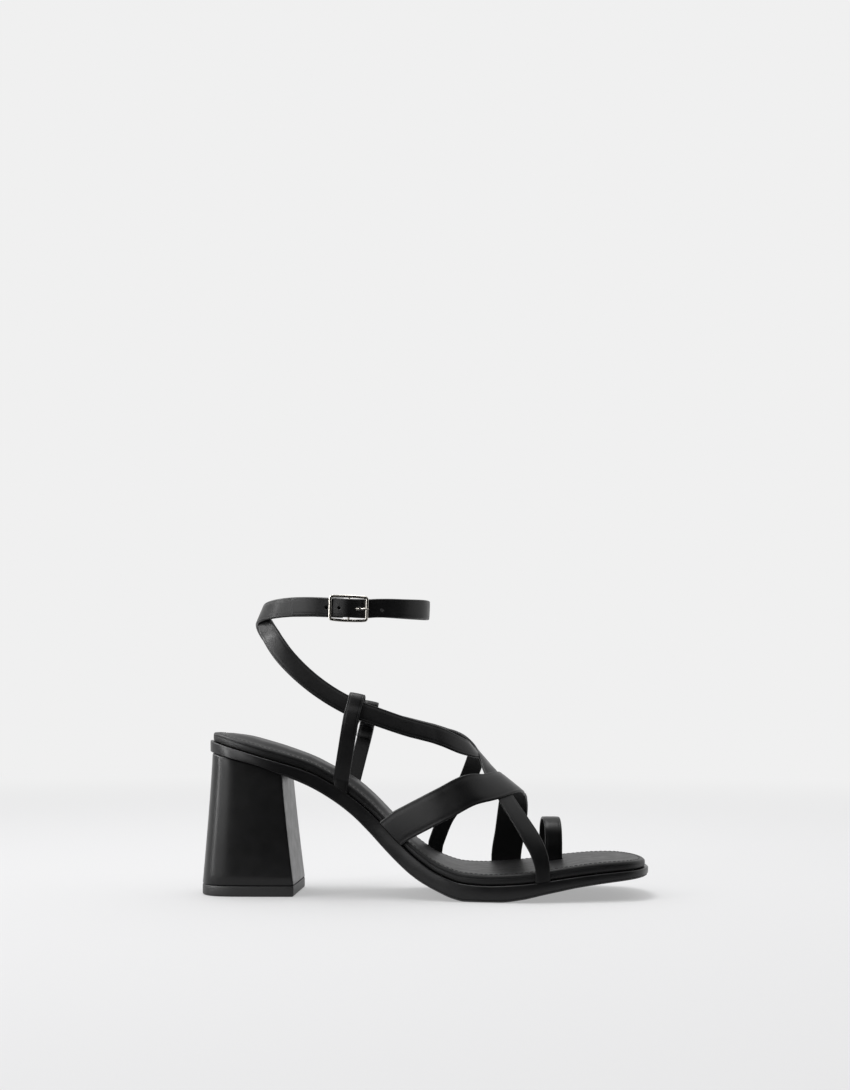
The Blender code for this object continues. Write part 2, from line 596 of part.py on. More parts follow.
def buckle_frame():
    """Frame with its end bars over the strap and its middle bar under it."""
    half = BUCKLE_LENGTH / 2 - BUCKLE_BAR / 2
    rise = 0.96 * STRAP_WIDTH / 2 + CLEARANCE + BUCKLE_BAR / 2
    right = 2 * CLEARANCE + STRAP_THICKNESS + BUCKLE_BAR / 2
    left = right + 1.25 * STRAP_THICKNESS
    middle = MIDDLE_OFF + MIDDLE_BAR / 2
    corner = BUCKLE_CORNER
    loop = []
    for sx, sz, off in ((1, -1, right), (1, 1, right), (-1, 1, left), (-1, -1, left)):
        ends = [(sx * half, sz * (rise - corner)), (sx * (half - 0.3 * corner), sz * (rise - 0.3 * corner)),
                (sx * (half - corner), sz * rise)]
        part_way = (sx * half * 0.55, sz * (rise + 0.2 * MM), off + (middle - off) * 0.7)
        if (sx, sz) in ((1, 1), (-1, -1)):
            loop += [(a, b, off) for a, b in ends]
            loop.append(part_way)
            loop.append((0, sz * (rise + 0.3 * MM), middle))
        else:
            loop.append(part_way)
            loop += [(a, b, off) for a, b in reversed(ends)]
    frame = tube("buckle_frame", [buckle_place(*row) for row in loop], BUCKLE_BAR / 2, closed=True)
    bar = tube("middle_bar", [buckle_place(0, rise * s, MIDDLE_OFF) for s in (-1, -0.5, 0, 0.5, 1)],
               MIDDLE_BAR / 2)
    apply(frame, bar, "UNION")
    return frame


def buckle_prong():
    """Wire hooked round the middle bar, through the strap's hole and over the front bar."""
    reach = MIDDLE_BAR / 2 + CLEARANCE * 0.8 + PRONG_WIRE / 2
    rows = []
    for degrees in (210, 165, 120, 75, 30, -15, -50):
        a = math.radians(degrees)
        rows.append((reach * math.cos(a), 0, MIDDLE_OFF + reach * math.sin(a)))
    for along, off in ((2.2, 0.85), (3.6, 1.15), (4.8, 1.9), (6.0, 3.15), (7.2, 4.2), (8.6, 4.5),
                       (10.4, 4.36)):
        rows.append((along * MM, 0, off * MM))
    return tube("buckle_prong", [buckle_place(*row) for row in rows], PRONG_WIRE / 2)


def prong_hole():
    """Cutter of the strap's hole that the prong comes through."""
    sides = 12
    vertices = []
    for off in (-2 * MM, 8 * MM):
        for i in range(sides):
            a = math.tau * i / sides
            along = PRONG_PLACE + PRONG_HOLE_LENGTH / 2 * math.cos(a)
            vertices.append(buckle_place(along, PRONG_HOLE_WIDTH / 2 * math.sin(a), off))
    faces = [tuple(range(sides)), tuple(range(sides, 2 * sides))]
    faces += [(i, (i + 1) % sides, sides + (i + 1) % sides, sides + i) for i in range(sides)]
    return mesh_object("prong_hole", vertices, faces, *LEATHER)


def main():
    for thing in list(bpy.data.objects):
        bpy.data.objects.remove(thing)
    outsole()
    apply(insole(), toe_slot(), "DIFFERENCE")
    heel_block()
    heel_top_piece()
    apply(upper(), prong_hole(), "DIFFERENCE")
    side_loop("side_loop_lateral", -1)
    side_loop("side_loop_medial", 1)
    toe_loop()
    buckle_frame()
    buckle_prong()


main()
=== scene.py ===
# %% [markdown]
# A strappy sandal on a block heel, right shoe. A padded insole is glued to a thin platform sole, the
# ends of the straps are trapped in the joint between the two, and a leather-covered heel is screwed on
# from inside. The frame holds each piece as a solid in the true shape of the last. Here the pieces get
# their finish. Most are lofted again from the same sizes with more sections, because leather shows
# every facet, and the solids stay behind them for the physics.

# %% Load the frame
from math import atan, atan2, copysign, cos, exp, hypot, pi, radians, sin, sqrt, tau

import bmesh
import bpy
import numpy as np
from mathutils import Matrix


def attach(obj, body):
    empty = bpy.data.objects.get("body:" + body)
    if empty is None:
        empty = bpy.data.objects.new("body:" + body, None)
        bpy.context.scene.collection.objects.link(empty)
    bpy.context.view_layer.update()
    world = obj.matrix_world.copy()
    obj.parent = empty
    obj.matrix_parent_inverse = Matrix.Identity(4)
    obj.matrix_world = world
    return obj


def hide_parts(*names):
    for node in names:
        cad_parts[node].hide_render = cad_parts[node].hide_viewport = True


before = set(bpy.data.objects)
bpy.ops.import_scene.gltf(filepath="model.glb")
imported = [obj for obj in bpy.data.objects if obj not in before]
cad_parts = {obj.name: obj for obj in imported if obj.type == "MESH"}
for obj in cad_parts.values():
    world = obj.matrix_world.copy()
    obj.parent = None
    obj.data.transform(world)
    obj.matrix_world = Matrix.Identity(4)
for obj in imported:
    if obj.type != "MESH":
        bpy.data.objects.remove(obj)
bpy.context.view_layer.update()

MM = 0.001
print("nodes in the frame:", ", ".join(sorted(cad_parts)))

# %% [markdown]
# The camera comes first, so that every later step can be looked at from the photograph's side. The
# photograph was taken from low down with a normal lens, and a lens shift keeps its uprights parallel.

# %% Camera
PHOTO_WIDTH, PHOTO_HEIGHT = 850, 1090
FOCAL_PIXELS = 1300
HORIZON_PIXEL = 722
CAMERA_PLACE = (0.1305, -0.6995, 0.0920)
CAMERA_TURN = 3.0


def add_camera():
    data = bpy.data.cameras.new("camera")
    data.sensor_width = 36
    data.lens = FOCAL_PIXELS / PHOTO_HEIGHT * data.sensor_width
    data.shift_y = (HORIZON_PIXEL - PHOTO_HEIGHT / 2) / PHOTO_HEIGHT
    data.clip_start = 0.01
    camera = bpy.data.objects.new("camera", data)
    camera.location = CAMERA_PLACE
    camera.rotation_euler = (radians(90), 0, radians(CAMERA_TURN))
    bpy.context.scene.collection.objects.link(camera)
    bpy.context.scene.camera = camera
    print("lens", round(data.lens, 2), "mm, shift", round(data.shift_y, 3))


add_camera()

# %% [markdown]
# The studio is a pale table under one soft light, with a weak strip beside the heel. Black leather has
# almost no colour of its own: what the eye reads as its shape is what it reflects. So bright cards
# stand where the heel and the straps should shine, and black flags where they should stay dark.

# %% A few small helpers


def linear(code):
    """Linear colour of an sRGB hex code such as 1a1a1c."""
    out = []
    for i in (0, 2, 4):
        c = int(code[i:i + 2], 16) / 255
        out.append(c / 12.92 if c <= 0.04045 else ((c + 0.055) / 1.055) ** 2.4)
    return (*out, 1.0)


def join(tree, source, socket):
    """Links a node's first output, or a socket, to a socket."""
    tree.links.new(source.outputs[0] if isinstance(source, bpy.types.Node) else source, socket)


def tune(tree, node, **settings):
    """Sets a node's properties and sockets by name. A node or socket given as a value is linked."""
    for name, value in settings.items():
        if hasattr(node, name):
            setattr(node, name, value)
        elif isinstance(value, (bpy.types.Node, bpy.types.NodeSocket)):
            join(tree, value, node.inputs[name.replace("_", " ")])
        else:
            node.inputs[name.replace("_", " ")].default_value = value


def add(tree, kind, *sources, **settings):
    """Adds a node, sets it, and links the sources to its first sockets in turn."""
    made = tree.nodes.new(kind)
    tune(tree, made, **settings)
    for socket, source in zip(made.inputs, sources):
        join(tree, source, socket)
    return made


def link_object(name, data):
    thing = bpy.data.objects.new(name, data)
    bpy.context.scene.collection.objects.link(thing)
    return thing


def new_material(name):
    """A material, its tree and its shader."""
    material = bpy.data.materials.new(name)
    material.use_nodes = True
    return material, material.node_tree, material.node_tree.nodes["Principled BSDF"]


# %% Studio
BACKDROP = "f0f0f0"
FLOOR_ALBEDO = "b4b4b5"
FLOOR_GLOW = 0.42
FLOOR_REACH = 14.0
FADE_START, FADE_END = 0.35, 1.6    # where the table begins to turn into the backdrop, and is one with it
FLAG_SHADE = "060606"
# name, width, height, place of the middle, turn about the upright in degrees
FLAGS = [("front_flag", 3.2, 1.9, (0.1, -1.5, 0.97), 0),
         ("front_left_flag", 1.2, 1.9, (-1.75, -1.15, 0.97), -55),
         ("front_right_flag", 1.2, 1.9, (1.95, -1.15, 0.97), 55)]
TABLE_FLAG = (-0.20, 1.1, -1.4, -0.075, MM)    # x from and to, y from and to, height
# the same as a flag's, and strength
CARDS = [("heel_card", 0.05, 0.9, (-0.42, -0.15, 0.45), -65, 16.0),
         ("left_card", 0.45, 0.9, (-0.62, -0.80, 0.45), -25, 3.6),
         ("high_left_card", 0.9, 0.6, (-0.80, 0.15, 0.95), -80, 9.0)]
# name, watts, size across, size up, place, aimed at
LIGHTS = [("top_light", 5.4, 0.6, 0.4, (-0.05, 0.06, 1.15), (0.08, 0.0, 0.04)),
          ("heel_strip", 1.2, 0.10, 0.8, (-0.60, -0.40, 0.40), (-0.02, 0.0, 0.07))]


def table_acrylic():
    """White acrylic, lit a little from below, whose far part fades into the backdrop."""
    material, tree, _ = new_material("white acrylic table")
    tree.nodes.clear()
    place = add(tree, "ShaderNodeTexCoord").outputs["Object"]
    away = add(tree, "ShaderNodeVectorMath", place, operation="LENGTH").outputs["Value"]
    far = add(tree, "ShaderNodeMapRange", away, interpolation_type="SMOOTHSTEP", From_Min=FADE_START,
              From_Max=FADE_END)
    paper = add(tree, "ShaderNodeBsdfDiffuse", Color=linear(FLOOR_ALBEDO))
    glow = add(tree, "ShaderNodeEmission", Color=linear(BACKDROP), Strength=FLOOR_GLOW)
    near = add(tree, "ShaderNodeAddShader", paper, glow)
    backdrop = add(tree, "ShaderNodeEmission", Color=linear(BACKDROP), Strength=1.0)
    add(tree, "ShaderNodeOutputMaterial", add(tree, "ShaderNodeMixShader", far, near, backdrop))
    return material


def flag_cloth():
    material, tree, shader = new_material("black flag cloth")
    tune(tree, shader, Base_Color=linear(FLAG_SHADE), Roughness=1.0, Specular_IOR_Level=0.0)
    return material


def card_glow(name, strength):
    material, tree, _ = new_material(name)
    tree.nodes.clear()
    glow = add(tree, "ShaderNodeEmission", Color=linear("ffffff"), Strength=strength)
    add(tree, "ShaderNodeOutputMaterial", glow)
    return material


def level(x0, x1, y0, y1, z):
    """Corners of a level sheet."""
    return [(x0, y0, z), (x1, y0, z), (x1, y1, z), (x0, y1, z)]


def upright(wide, tall, place, turn):
    """Corners of an upright sheet."""
    a = radians(turn)
    x, y, z = place
    return [(x + s * wide / 2 * cos(a), y + s * wide / 2 * sin(a), z + t * tall / 2)
            for s, t in ((-1, -1), (1, -1), (1, 1), (-1, 1))]


def sheet(name, corners, material, camera=False, others=True):
    """Flat piece of the studio. Only reflections see it when camera and others are both off."""
    mesh = bpy.data.meshes.new(name)
    mesh.from_pydata(corners, [], [(0, 1, 2, 3)])
    mesh.materials.append(material)
    thing = link_object(name, mesh)
    thing.visible_camera = camera
    thing.visible_diffuse = thing.visible_shadow = others


def add_world():
    world = bpy.data.worlds.new("studio")
    world.use_nodes = True
    world.node_tree.nodes["Background"].inputs["Color"].default_value = linear(BACKDROP)
    bpy.context.scene.world = world
    bpy.context.scene.view_settings.view_transform = "Standard"


def add_light(name, watts, wide, tall, place, target):
    data = bpy.data.lights.new(name, "AREA")
    data.shape = "RECTANGLE"
    data.size, data.size_y = wide, tall
    data.energy = watts
    lamp = link_object(name, data)
    lamp.location = place
    x, y, z = np.array(target) - np.array(place)
    lamp.rotation_euler = (pi / 2 + atan2(z, hypot(x, y)), 0, atan2(-x, y))
    lamp.visible_camera = False


table_top = level(-FLOOR_REACH, FLOOR_REACH, -FLOOR_REACH, FLOOR_REACH, 0)
sheet("studio_floor", table_top, table_acrylic(), camera=True)
add_world()
cloth = flag_cloth()
for name, *where in FLAGS:
    sheet(name, upright(*where), cloth)
sheet("table_flag", level(*TABLE_FLAG), cloth, others=False)
for name, *where, strength in CARDS:
    sheet(name, upright(*where), card_glow(name, strength), others=False)
for row in LIGHTS:
    add_light(*row)
print(len(LIGHTS), "lights,", len(CARDS), "cards and", len(FLAGS) + 1, "flags over a pale table")

# %% [markdown]
# The whole upper is polyurethane leather, a cloth coated with a thin plastic skin and embossed with a
# fine grain. It is cheap, even and a little shinier than hide. The grain is a cell pattern about half
# a millimetre wide, made with bump, over a slow waviness of a few millimetres that keeps a long
# highlight from looking ruled.

# %% Materials for leather
GRAIN_SIZE, WAVE_SIZE = 0.45 * MM, 9 * MM
CLOUD_SIZE, SMEAR_SIZE = 22 * MM, 6 * MM
GRAIN_DEPTH, WAVE_DEPTH = 0.08 * MM, 0.6 * MM
GLOSS_SPREAD = 0.045
SHEEN = 0.3


def patterned(name):
    """A material with the place on the piece, so that its patterns have a true size."""
    material, tree, shader = new_material(name)
    return material, tree, shader, add(tree, "ShaderNodeTexCoord").outputs["Object"]


def noise(tree, place, size, detail):
    return add(tree, "ShaderNodeTexNoise", place, Scale=1 / size, Detail=detail).outputs["Fac"]


def shades(tree, shader, pattern, dark, light):
    """Colours the shader between two close shades."""
    mixed = add(tree, "ShaderNodeMix", pattern, data_type="RGBA")
    mixed.inputs[6].default_value = linear(dark)
    mixed.inputs[7].default_value = linear(light)
    tune(tree, shader, Base_Color=mixed.outputs[2])


def polyurethane(name, dark, light, rough, grain, wave, coat):
    """Coated leather: two close shades, a roughness that varies, cell grain and a slow wave."""
    material, tree, shader, place = patterned(name)
    shades(tree, shader, noise(tree, place, CLOUD_SIZE, 3.0), dark, light)
    gloss = add(tree, "ShaderNodeMapRange", noise(tree, place, SMEAR_SIZE, 4.0), From_Min=0.3, From_Max=0.7,
                To_Min=rough - GLOSS_SPREAD, To_Max=rough + GLOSS_SPREAD)
    cells = add(tree, "ShaderNodeTexVoronoi", place, feature="SMOOTH_F1", Scale=1 / GRAIN_SIZE)
    swell = add(tree, "ShaderNodeBump", Height=noise(tree, place, WAVE_SIZE, 2.0), Strength=wave,
                Distance=WAVE_DEPTH)
    skin = add(tree, "ShaderNodeBump", Height=cells.outputs["Distance"], Normal=swell, Strength=grain,
               Distance=GRAIN_DEPTH)
    tune(tree, shader, Roughness=gloss, Normal=skin, IOR=1.47, Specular_IOR_Level=SHEEN, Coat_Weight=coat,
         Coat_Roughness=0.22)
    return material


STRAP_LEATHER = polyurethane("polyurethane strap leather", "0c0c0d", "151516", 0.40, 0.30, 0.10, 0.06)
WRAP_LEATHER = polyurethane("polyurethane wrap leather", "0e0e0f", "171718", 0.34, 0.22, 0.12, 0.12)
SOCK_LEATHER = polyurethane("polyurethane sock leather", "131314", "1b1b1c", 0.46, 0.35, 0.14, 0.04)
LINING = polyurethane("microfibre lining", "0a0a0b", "101011", 0.72, 0.5, 0.05, 0.0)
print("leathers:", STRAP_LEATHER.name, WRAP_LEATHER.name, SOCK_LEATHER.name, LINING.name)

# %% [markdown]
# The rest is small. The top piece and the thin bottom sole are moulded thermoplastic rubber, duller
# than the leather and finely pitted. The buckle is cast zinc, polished and nickel plated: a slightly
# warm mirror with hair-fine polishing marks. The thread is bonded nylon.

# %% Materials for rubber, nickel and thread


def moulded_rubber():
    material, tree, shader, place = patterned("moulded thermoplastic rubber")
    shades(tree, shader, noise(tree, place, 5 * MM, 6.0), "131314", "1d1d1e")
    pits = add(tree, "ShaderNodeBump", Height=noise(tree, place, 0.35 * MM, 2.0), Strength=0.25,
               Distance=0.06 * MM)
    tune(tree, shader, Normal=pits, Roughness=0.48, IOR=1.5)
    return material


def polished_nickel():
    material, tree, shader, place = patterned("nickel plated zinc casting")
    stretched = add(tree, "ShaderNodeMapping", place, Scale=(1.0, 1.0, 6.0))
    marks = noise(tree, stretched, 1.2 * MM, 5.0)
    gloss = add(tree, "ShaderNodeMapRange", marks, To_Min=0.10, To_Max=0.24)
    scratches = add(tree, "ShaderNodeBump", Height=marks, Strength=0.06, Distance=0.02 * MM)
    tune(tree, shader, Roughness=gloss, Normal=scratches, Base_Color=linear("d9d5cd"), Metallic=1.0)
    return material


def nylon_thread():
    material, tree, shader, place = patterned("bonded nylon thread")
    twist = add(tree, "ShaderNodeTexWave", place, bands_direction="DIAGONAL", Scale=1 / (1.6 * MM),
                Distortion=1.0)
    shades(tree, shader, twist.outputs["Fac"], "0b0b0c", "212123")
    tune(tree, shader, Roughness=0.55)
    return material


RUBBER, NICKEL, THREAD = moulded_rubber(), polished_nickel(), nylon_thread()
print("others:", RUBBER.name, NICKEL.name, THREAD.name)

# %% [markdown]
# Every curve of a shoe comes from its last, the wooden foot that it is built on. Four small tables
# give the sole, and two more the top of the foot and the ankle, in millimetres. They are read through a
# curve that never overshoots its points, because a sole line that ripples looks wrong at once.

# %% Tables of the last
# along, height of the joint line between insole and platform
JOINT = [(-24, 83.2), (-16.6, 81.1), (8.2, 73.9), (34.4, 65.6), (44.7, 60.2), (55, 53.6), (65.3, 45.4),
         (73.2, 37.7), (81.6, 29.3), (88.9, 22.6), (102.8, 13.4), (115.7, 9.3), (127.9, 8.6), (143, 9.3),
         (156.7, 10.8), (165, 12.0), (185, 14.3), (203, 15.6), (215, 16.1)]
# along, height of the platform's underside
UNDER = [(-24, 77.1), (-16.6, 75.0), (8, 68.8), (19.7, 64.2), (34.4, 57.8), (46.6, 50.5), (56.8, 42.7),
         (65.9, 33.8), (73, 26.2), (79.3, 19.9), (86.5, 13.5), (92.4, 9.4), (102.5, 4.2), (110, 1.2),
         (116, 0), (134, 0), (145, 1.3), (156, 3.7), (165, 5.5), (172.8, 7.0), (185, 8.7), (197.6, 10.1),
         (206, 10.9), (213, 11.4)]
# along, insole's thickness at its edge, rise of its padded middle above the edge
PAD = [(-24, 4.1, 0.2), (-18, 4.9, 0.5), (-11, 5.5, 1.1), (0, 5.6, 2.3), (13, 5.5, 2.6), (25, 5.5, 2.2),
       (40, 5.5, 1.9), (52, 5.7, 2.8), (62, 5.7, 3.2), (74, 5.5, 3.0), (88, 5.4, 1.5), (105, 5.3, 0.2),
       (180, 5.3, 0.2), (203, 4.5, 0.1), (213, 3.7, 0.1)]
# along, platform's edge on the lateral side, on the medial side
PLAN = [(-22, 4, 4), (-20.7, 9.5, 9.5), (-17.6, 14.5, 14.5), (-13, 18.8, 18.8), (-6.5, 22.5, 22.5),
        (0, 24.6, 24.6), (10, 25.6, 25.6), (20, 24.9, 24.7), (35, 23, 22), (50, 21.8, 20), (65, 22.4, 19.5),
        (80, 25.6, 21), (95, 30.5, 25), (110, 35, 30), (125, 37.8, 34.5), (140, 38.8, 37.5),
        (150, 38.4, 38.3), (160, 37, 38.4), (175, 34, 37.3), (190, 30.3, 35.2), (199, 27.4, 32.6),
        (204, 24.4, 28.2), (207.5, 20.6, 22.8), (210, 16, 17), (211.8, 10.5, 10.5), (212.7, 4, 4)]
# along, height of the top of the foot
DORSAL = [(60, 140), (80, 124), (95, 112), (105, 100), (112, 88), (116, 81.8), (118, 78.9), (121, 74.4),
          (123, 71.4), (126, 67.2), (132, 62.9), (139, 58), (146, 52), (155, 46), (165, 40.5), (180, 35),
          (205, 30)]
# height, front of the ankle, back of it, half its width
SHIN = [(60, 130, -8, 27), (70, 124, -6.6, 27), (76, 120, -5.8, 27), (84, 115.5, -4.7, 27),
        (95, 110, -3.2, 27.4), (110, 104, -0.2, 28), (120, 101, 2.2, 28.2), (135, 97.5, 5.6, 28.6),
        (145, 95.6, 7.2, 28.9), (155, 94, 8.6, 29.1), (170, 92, 9.5, 29.5)]


def smooth(table, x, column=1):
    """Value at x of a curve through the table's points that doesn't overshoot them."""
    xs = np.array([row[0] for row in table], float)
    ys = np.array([row[column] for row in table], float)
    h = np.diff(xs)
    d = np.diff(ys) / h
    m = np.zeros(len(xs))
    m[0], m[-1] = d[0], d[-1]
    for i in range(1, len(xs) - 1):
        if d[i - 1] * d[i] > 0:
            a, b = 2 * h[i] + h[i - 1], h[i] + 2 * h[i - 1]
            m[i] = (a + b) / (a / d[i - 1] + b / d[i])
    x = min(max(x, xs[0]), xs[-1])
    k = int(min(max(np.searchsorted(xs, x) - 1, 0), len(h) - 1))
    s = (x - xs[k]) / h[k]
    rise = (1 + 2 * s) * (1 - s) ** 2 * ys[k] + s * s * (3 - 2 * s) * ys[k + 1]
    return rise + s * (1 - s) * h[k] * ((1 - s) * m[k] - s * m[k + 1])


print("the arch rises from", smooth(UNDER, 125), "to", round(smooth(UNDER, 0), 1), "mm at the seat")

# %% Functions of the last
INSOLE_INSET = 1.7 * MM
CLEARANCE = 0.3 * MM
BACK_END, TOE_END = -22, 212.7


def joint(x):
    return MM * smooth(JOINT, x / MM)


def under(x):
    return MM * smooth(UNDER, x / MM)


def thick(x):
    return MM * smooth(PAD, x / MM)


def crown(x):
    return thick(x) + MM * smooth(PAD, x / MM, 2)


def edge(x, side):
    """Platform's edge: side -1 is lateral, 1 is medial."""
    return side * MM * smooth(PLAN, x / MM, 1 if side < 0 else 2)


def wall(x, side):
    """Side of the insole."""
    return edge(x, side) - side * INSOLE_INSET


def unit(v):
    return np.asarray(v, float) / max(float(np.linalg.norm(v)), 1e-12)


def foot(station, degrees):
    """Point of the last's foot: station in millimetres, angle from the top, negative to the lateral side."""
    x, a = station * MM, radians(degrees)
    side = -1 if degrees < 0 else 1
    high = MM * (smooth(DORSAL, station) - smooth(JOINT, station) - 5.5)
    return np.array([x, wall(x, side) * abs(sin(a)) ** 0.91,
                     joint(x) + thick(x) + high * abs(cos(a)) ** 0.91])


def ankle(degrees, height):
    """Point of the last's ankle: angle from the front, negative to the lateral side, height in millimetres."""
    a = radians(degrees)
    front, back, half = (smooth(SHIN, height, k) for k in (1, 2, 3))
    reach = (front - back) / 2 * abs(cos(a)) ** 0.91
    return MM * np.array([(front + back) / 2 + copysign(reach, cos(a)),
                          copysign(half * abs(sin(a)) ** 0.91, sin(a)), height])


def outward(form, u, v):
    """Normal of a form of the last at u, v."""
    p = form(u, v)
    n = unit(np.cross(form(u + 0.5, v) - form(u - 0.5, v), form(u, v + 0.5) - form(u, v - 0.5)))
    heart = np.array([p[0], 0, joint(p[0]) + 20 * MM]) if form is foot else np.array([50 * MM, 0, p[2]])
    return n if n @ (p - heart) > 0 else -n


print("top of the instep:", [round(c / MM, 1) for c in foot(120, 0)])

# %% [markdown]
# A sole layer is a stack of closed rings, one for each height of its edge. The ring follows the plan,
# and every level moves it inwards a little. That gives the turned edge of the wrapped platform its soft
# corner, which is what catches the light.

# %% Lofting helpers


def finish(name, rings, faces, materials, index=None, sharp=40):
    """Mesh object from rings of points, outward normals, smooth with sharp edges past an angle."""
    bm = bmesh.new()
    made = [bm.verts.new(tuple(float(c) for c in v)) for ring in rings for v in ring]
    for k, face in enumerate(faces):
        f = bm.faces.new([made[i] for i in face])
        f.material_index = index[k] if index else 0
    bmesh.ops.recalc_face_normals(bm, faces=bm.faces)
    mesh = bpy.data.meshes.new(name)
    bm.to_mesh(mesh)
    bm.free()
    for material in materials:
        mesh.materials.append(material)
    mesh.shade_smooth()
    mesh.set_sharp_from_angle(angle=radians(sharp))
    return link_object(name, mesh)


def tube(n, count, closed=False):
    """Faces between a number of rings that have n points each."""
    return [(r * n + i, r * n + (i + 1) % n, (r + 1) % count * n + (i + 1) % n, (r + 1) % count * n + i)
            for r in range(count if closed else count - 1) for i in range(n)]


def caps(n, count):
    """Faces over the first and the last of the rings."""
    return [tuple(range(base, base + n)) for base in (0, (count - 1) * n)]


def stack(name, rings, material, sharp=40):
    """Solid of closed rings one above another, with both ends closed by strips across."""
    n = len(rings[0])
    faces = tube(n, len(rings))
    for base in (0, (len(rings) - 1) * n):
        faces += [(base + i, base + i + 1, base + n - 2 - i, base + n - 1 - i) for i in range(n // 2 - 1)]
    return finish(name, rings, faces, [material], sharp=sharp)


def face_count(thing):
    return len(thing.data.polygons)


def offset(loop, distance):
    """The plan loop moved inward by a small distance."""
    p = np.array(loop)[:, :2]
    before, after = np.roll(p, 1, axis=0), np.roll(p, -1, axis=0)
    out = []
    for a, b, c in zip(before, p, after):
        d, e = unit(b - a), unit(c - b)
        across = unit(np.array([-d[1], d[0]]) + np.array([-e[1], e[0]]))
        out.append(b + across * distance / max(0.6, float(across @ np.array([-d[1], d[0]]))))
    return np.array(out)


def layers(loop, levels):
    """Rings of a loop, each moved inward and set at a height that depends on the station."""
    return [[(x, y, height(x)) for x, y in offset(loop, inward)] for inward, height in levels]


def plan(first, last, count=150, corner=5):
    """Closed plan between two stations, up the lateral side and back down the medial one."""
    u = np.linspace(0, 1, count)
    ease = 0.93 if first < -20 else 0.0
    xs = [MM * (first + (last - first) * (s - ease * sin(tau * s) / tau)) for s in u]
    sides = []
    for side in (-1, 1):
        row = [(x, edge(x, side)) for x in xs]
        for k, x in ((0, xs[0]), (-1, xs[-1])):
            middle = (edge(x, -1) + edge(x, 1)) / 2
            extra = [(x, middle + (edge(x, side) - middle) * (i + 0.06) / corner) for i in range(corner)]
            row = extra + row if k == 0 else row + extra[::-1]
        sides.append(row)
    return sides[0] + sides[1][::-1]


# %% [markdown]
# The platform is a leather-wrapped board. A thin rubber bottom sole, glued on after lasting, runs from
# the heel's front to the toe. The two are separate pieces with a hairline between them, since that
# dark line is what tells them apart.

# %% Platform and bottom sole
HALF_GAP = 0.15 * MM
BOTTOM_SOLE = 1.3 * MM
HAIRLINE = 0.06 * MM
LOWER_ROUND, UPPER_ROUND = 0.35 * MM, 0.75 * MM
BOTTOM_START = 15
# inset, share of the bottom sole's depth, further height
BOTTOM_LEVELS = [(2.4, 0, 0), (1.1, 0.12, 0), (0.45, 0.4, 0), (0.40, 0.85, 0), (0.7, 1, 0.02)]


def bottom_depth(x):
    """Thickness of the bottom sole: it thins to nothing under the front of the heel."""
    t = min(max((x / MM - BOTTOM_START) / 9, 0), 1)
    return BOTTOM_SOLE * t * t * (3 - 2 * t)


def rounded(radius, low=True, steps=5):
    """Insets and heights of a rounded corner, from the flat face to the side or back."""
    turns = [radians(90 * i / (steps - 1)) for i in range(steps)]
    rows = [(radius * (1 - sin(a)), radius * (1 - cos(a))) for a in turns]
    return rows if low else rows[::-1]


def platform():
    levels = [(inward, lambda x, up=up: under(x) + bottom_depth(x) + HAIRLINE + up)
              for inward, up in rounded(LOWER_ROUND)]
    levels += [(-0.02 * MM, lambda x: (under(x) + bottom_depth(x) + joint(x)) / 2)]
    levels += [(inward, lambda x, down=down: joint(x) - HALF_GAP - down)
               for inward, down in rounded(UPPER_ROUND, low=False)]
    return stack("platform", layers(plan(BACK_END, TOE_END), levels), WRAP_LEATHER)


def bottom_sole():
    levels = [(inset * MM, lambda x, share=share, lift=lift: under(x) + share * bottom_depth(x) + lift * MM)
              for inset, share, lift in BOTTOM_LEVELS]
    return stack("bottom_sole", layers(plan(BOTTOM_START, TOE_END), levels), RUBBER)


platform_piece = platform()
bottom_piece = bottom_sole()
print("platform", face_count(platform_piece), "faces, bottom sole", face_count(bottom_piece))

# %% [markdown]
# The insole is a board with a strip of foam on it, wrapped in the same leather. A seam runs round its
# side where the sock that covers the top is turned over the wrap. The top swells gently to the middle
# of the heel seat and the arch. The rings inside the rim are drawn towards the insole's own middle
# line, because an offset would fold over itself at the corners of the toe.

# %% Insole
RIM_ROUND, RIM_STEPS = 1.6 * MM, 7
STITCH_INSET = 3.0 * MM
# inset, height over the joint and share of the thickness added to it, up the side and its seam
INSOLE_SIDE = [(1.1, 0.15, 0), (0.25, 0.4, 0), (0, 1.05, 0), (-0.04, 0, 0.40), (0, 0, 0.585), (0.126, 0, 0.62),
               (0.28, 0, 0.64), (0.126, 0, 0.66)]
# inset from the stitches and height over the edge, across the groove that they lie in
STITCH_GROOVE = [(-0.8, 0.05), (0, -0.05), (0.8, 0.08)]
STITCH_RING = len(INSOLE_SIDE) + RIM_STEPS + 1
TOP_SHARES = (0.08, 0.16, 0.26, 0.38, 0.52, 0.66, 0.80, 0.92)
# station at the middle line, how far it slants across, depth, width, all in millimetres
FLEX_WRINKLES = [(136.0, 0.22, 0.16, 2.2), (143.5, 0.26, 0.12, 1.6), (66.0, -0.10, 0.14, 4.0)]


def drawn_in(loop, share):
    """Loop drawn towards the insole's middle line by a share."""
    out = []
    for x, y in loop:
        cx = min(max(x, -6 * MM), 194 * MM)
        cy = (edge(cx, -1) + edge(cx, 1)) / 2
        out.append((x + (cx - x) * share, y + (cy - y) * share))
    return out


def flex_wrinkle(x, y):
    """Soft troughs across the tread where the ball of the foot bends the padding."""
    depth = 0.0
    for station, slant, deep, width in FLEX_WRINKLES:
        away = (x / MM - station - slant * y / MM) / width
        depth -= deep * MM * exp(-away * away) * (1 - 0.45 * exp(-((away - 1.9) ** 2)))
    return depth


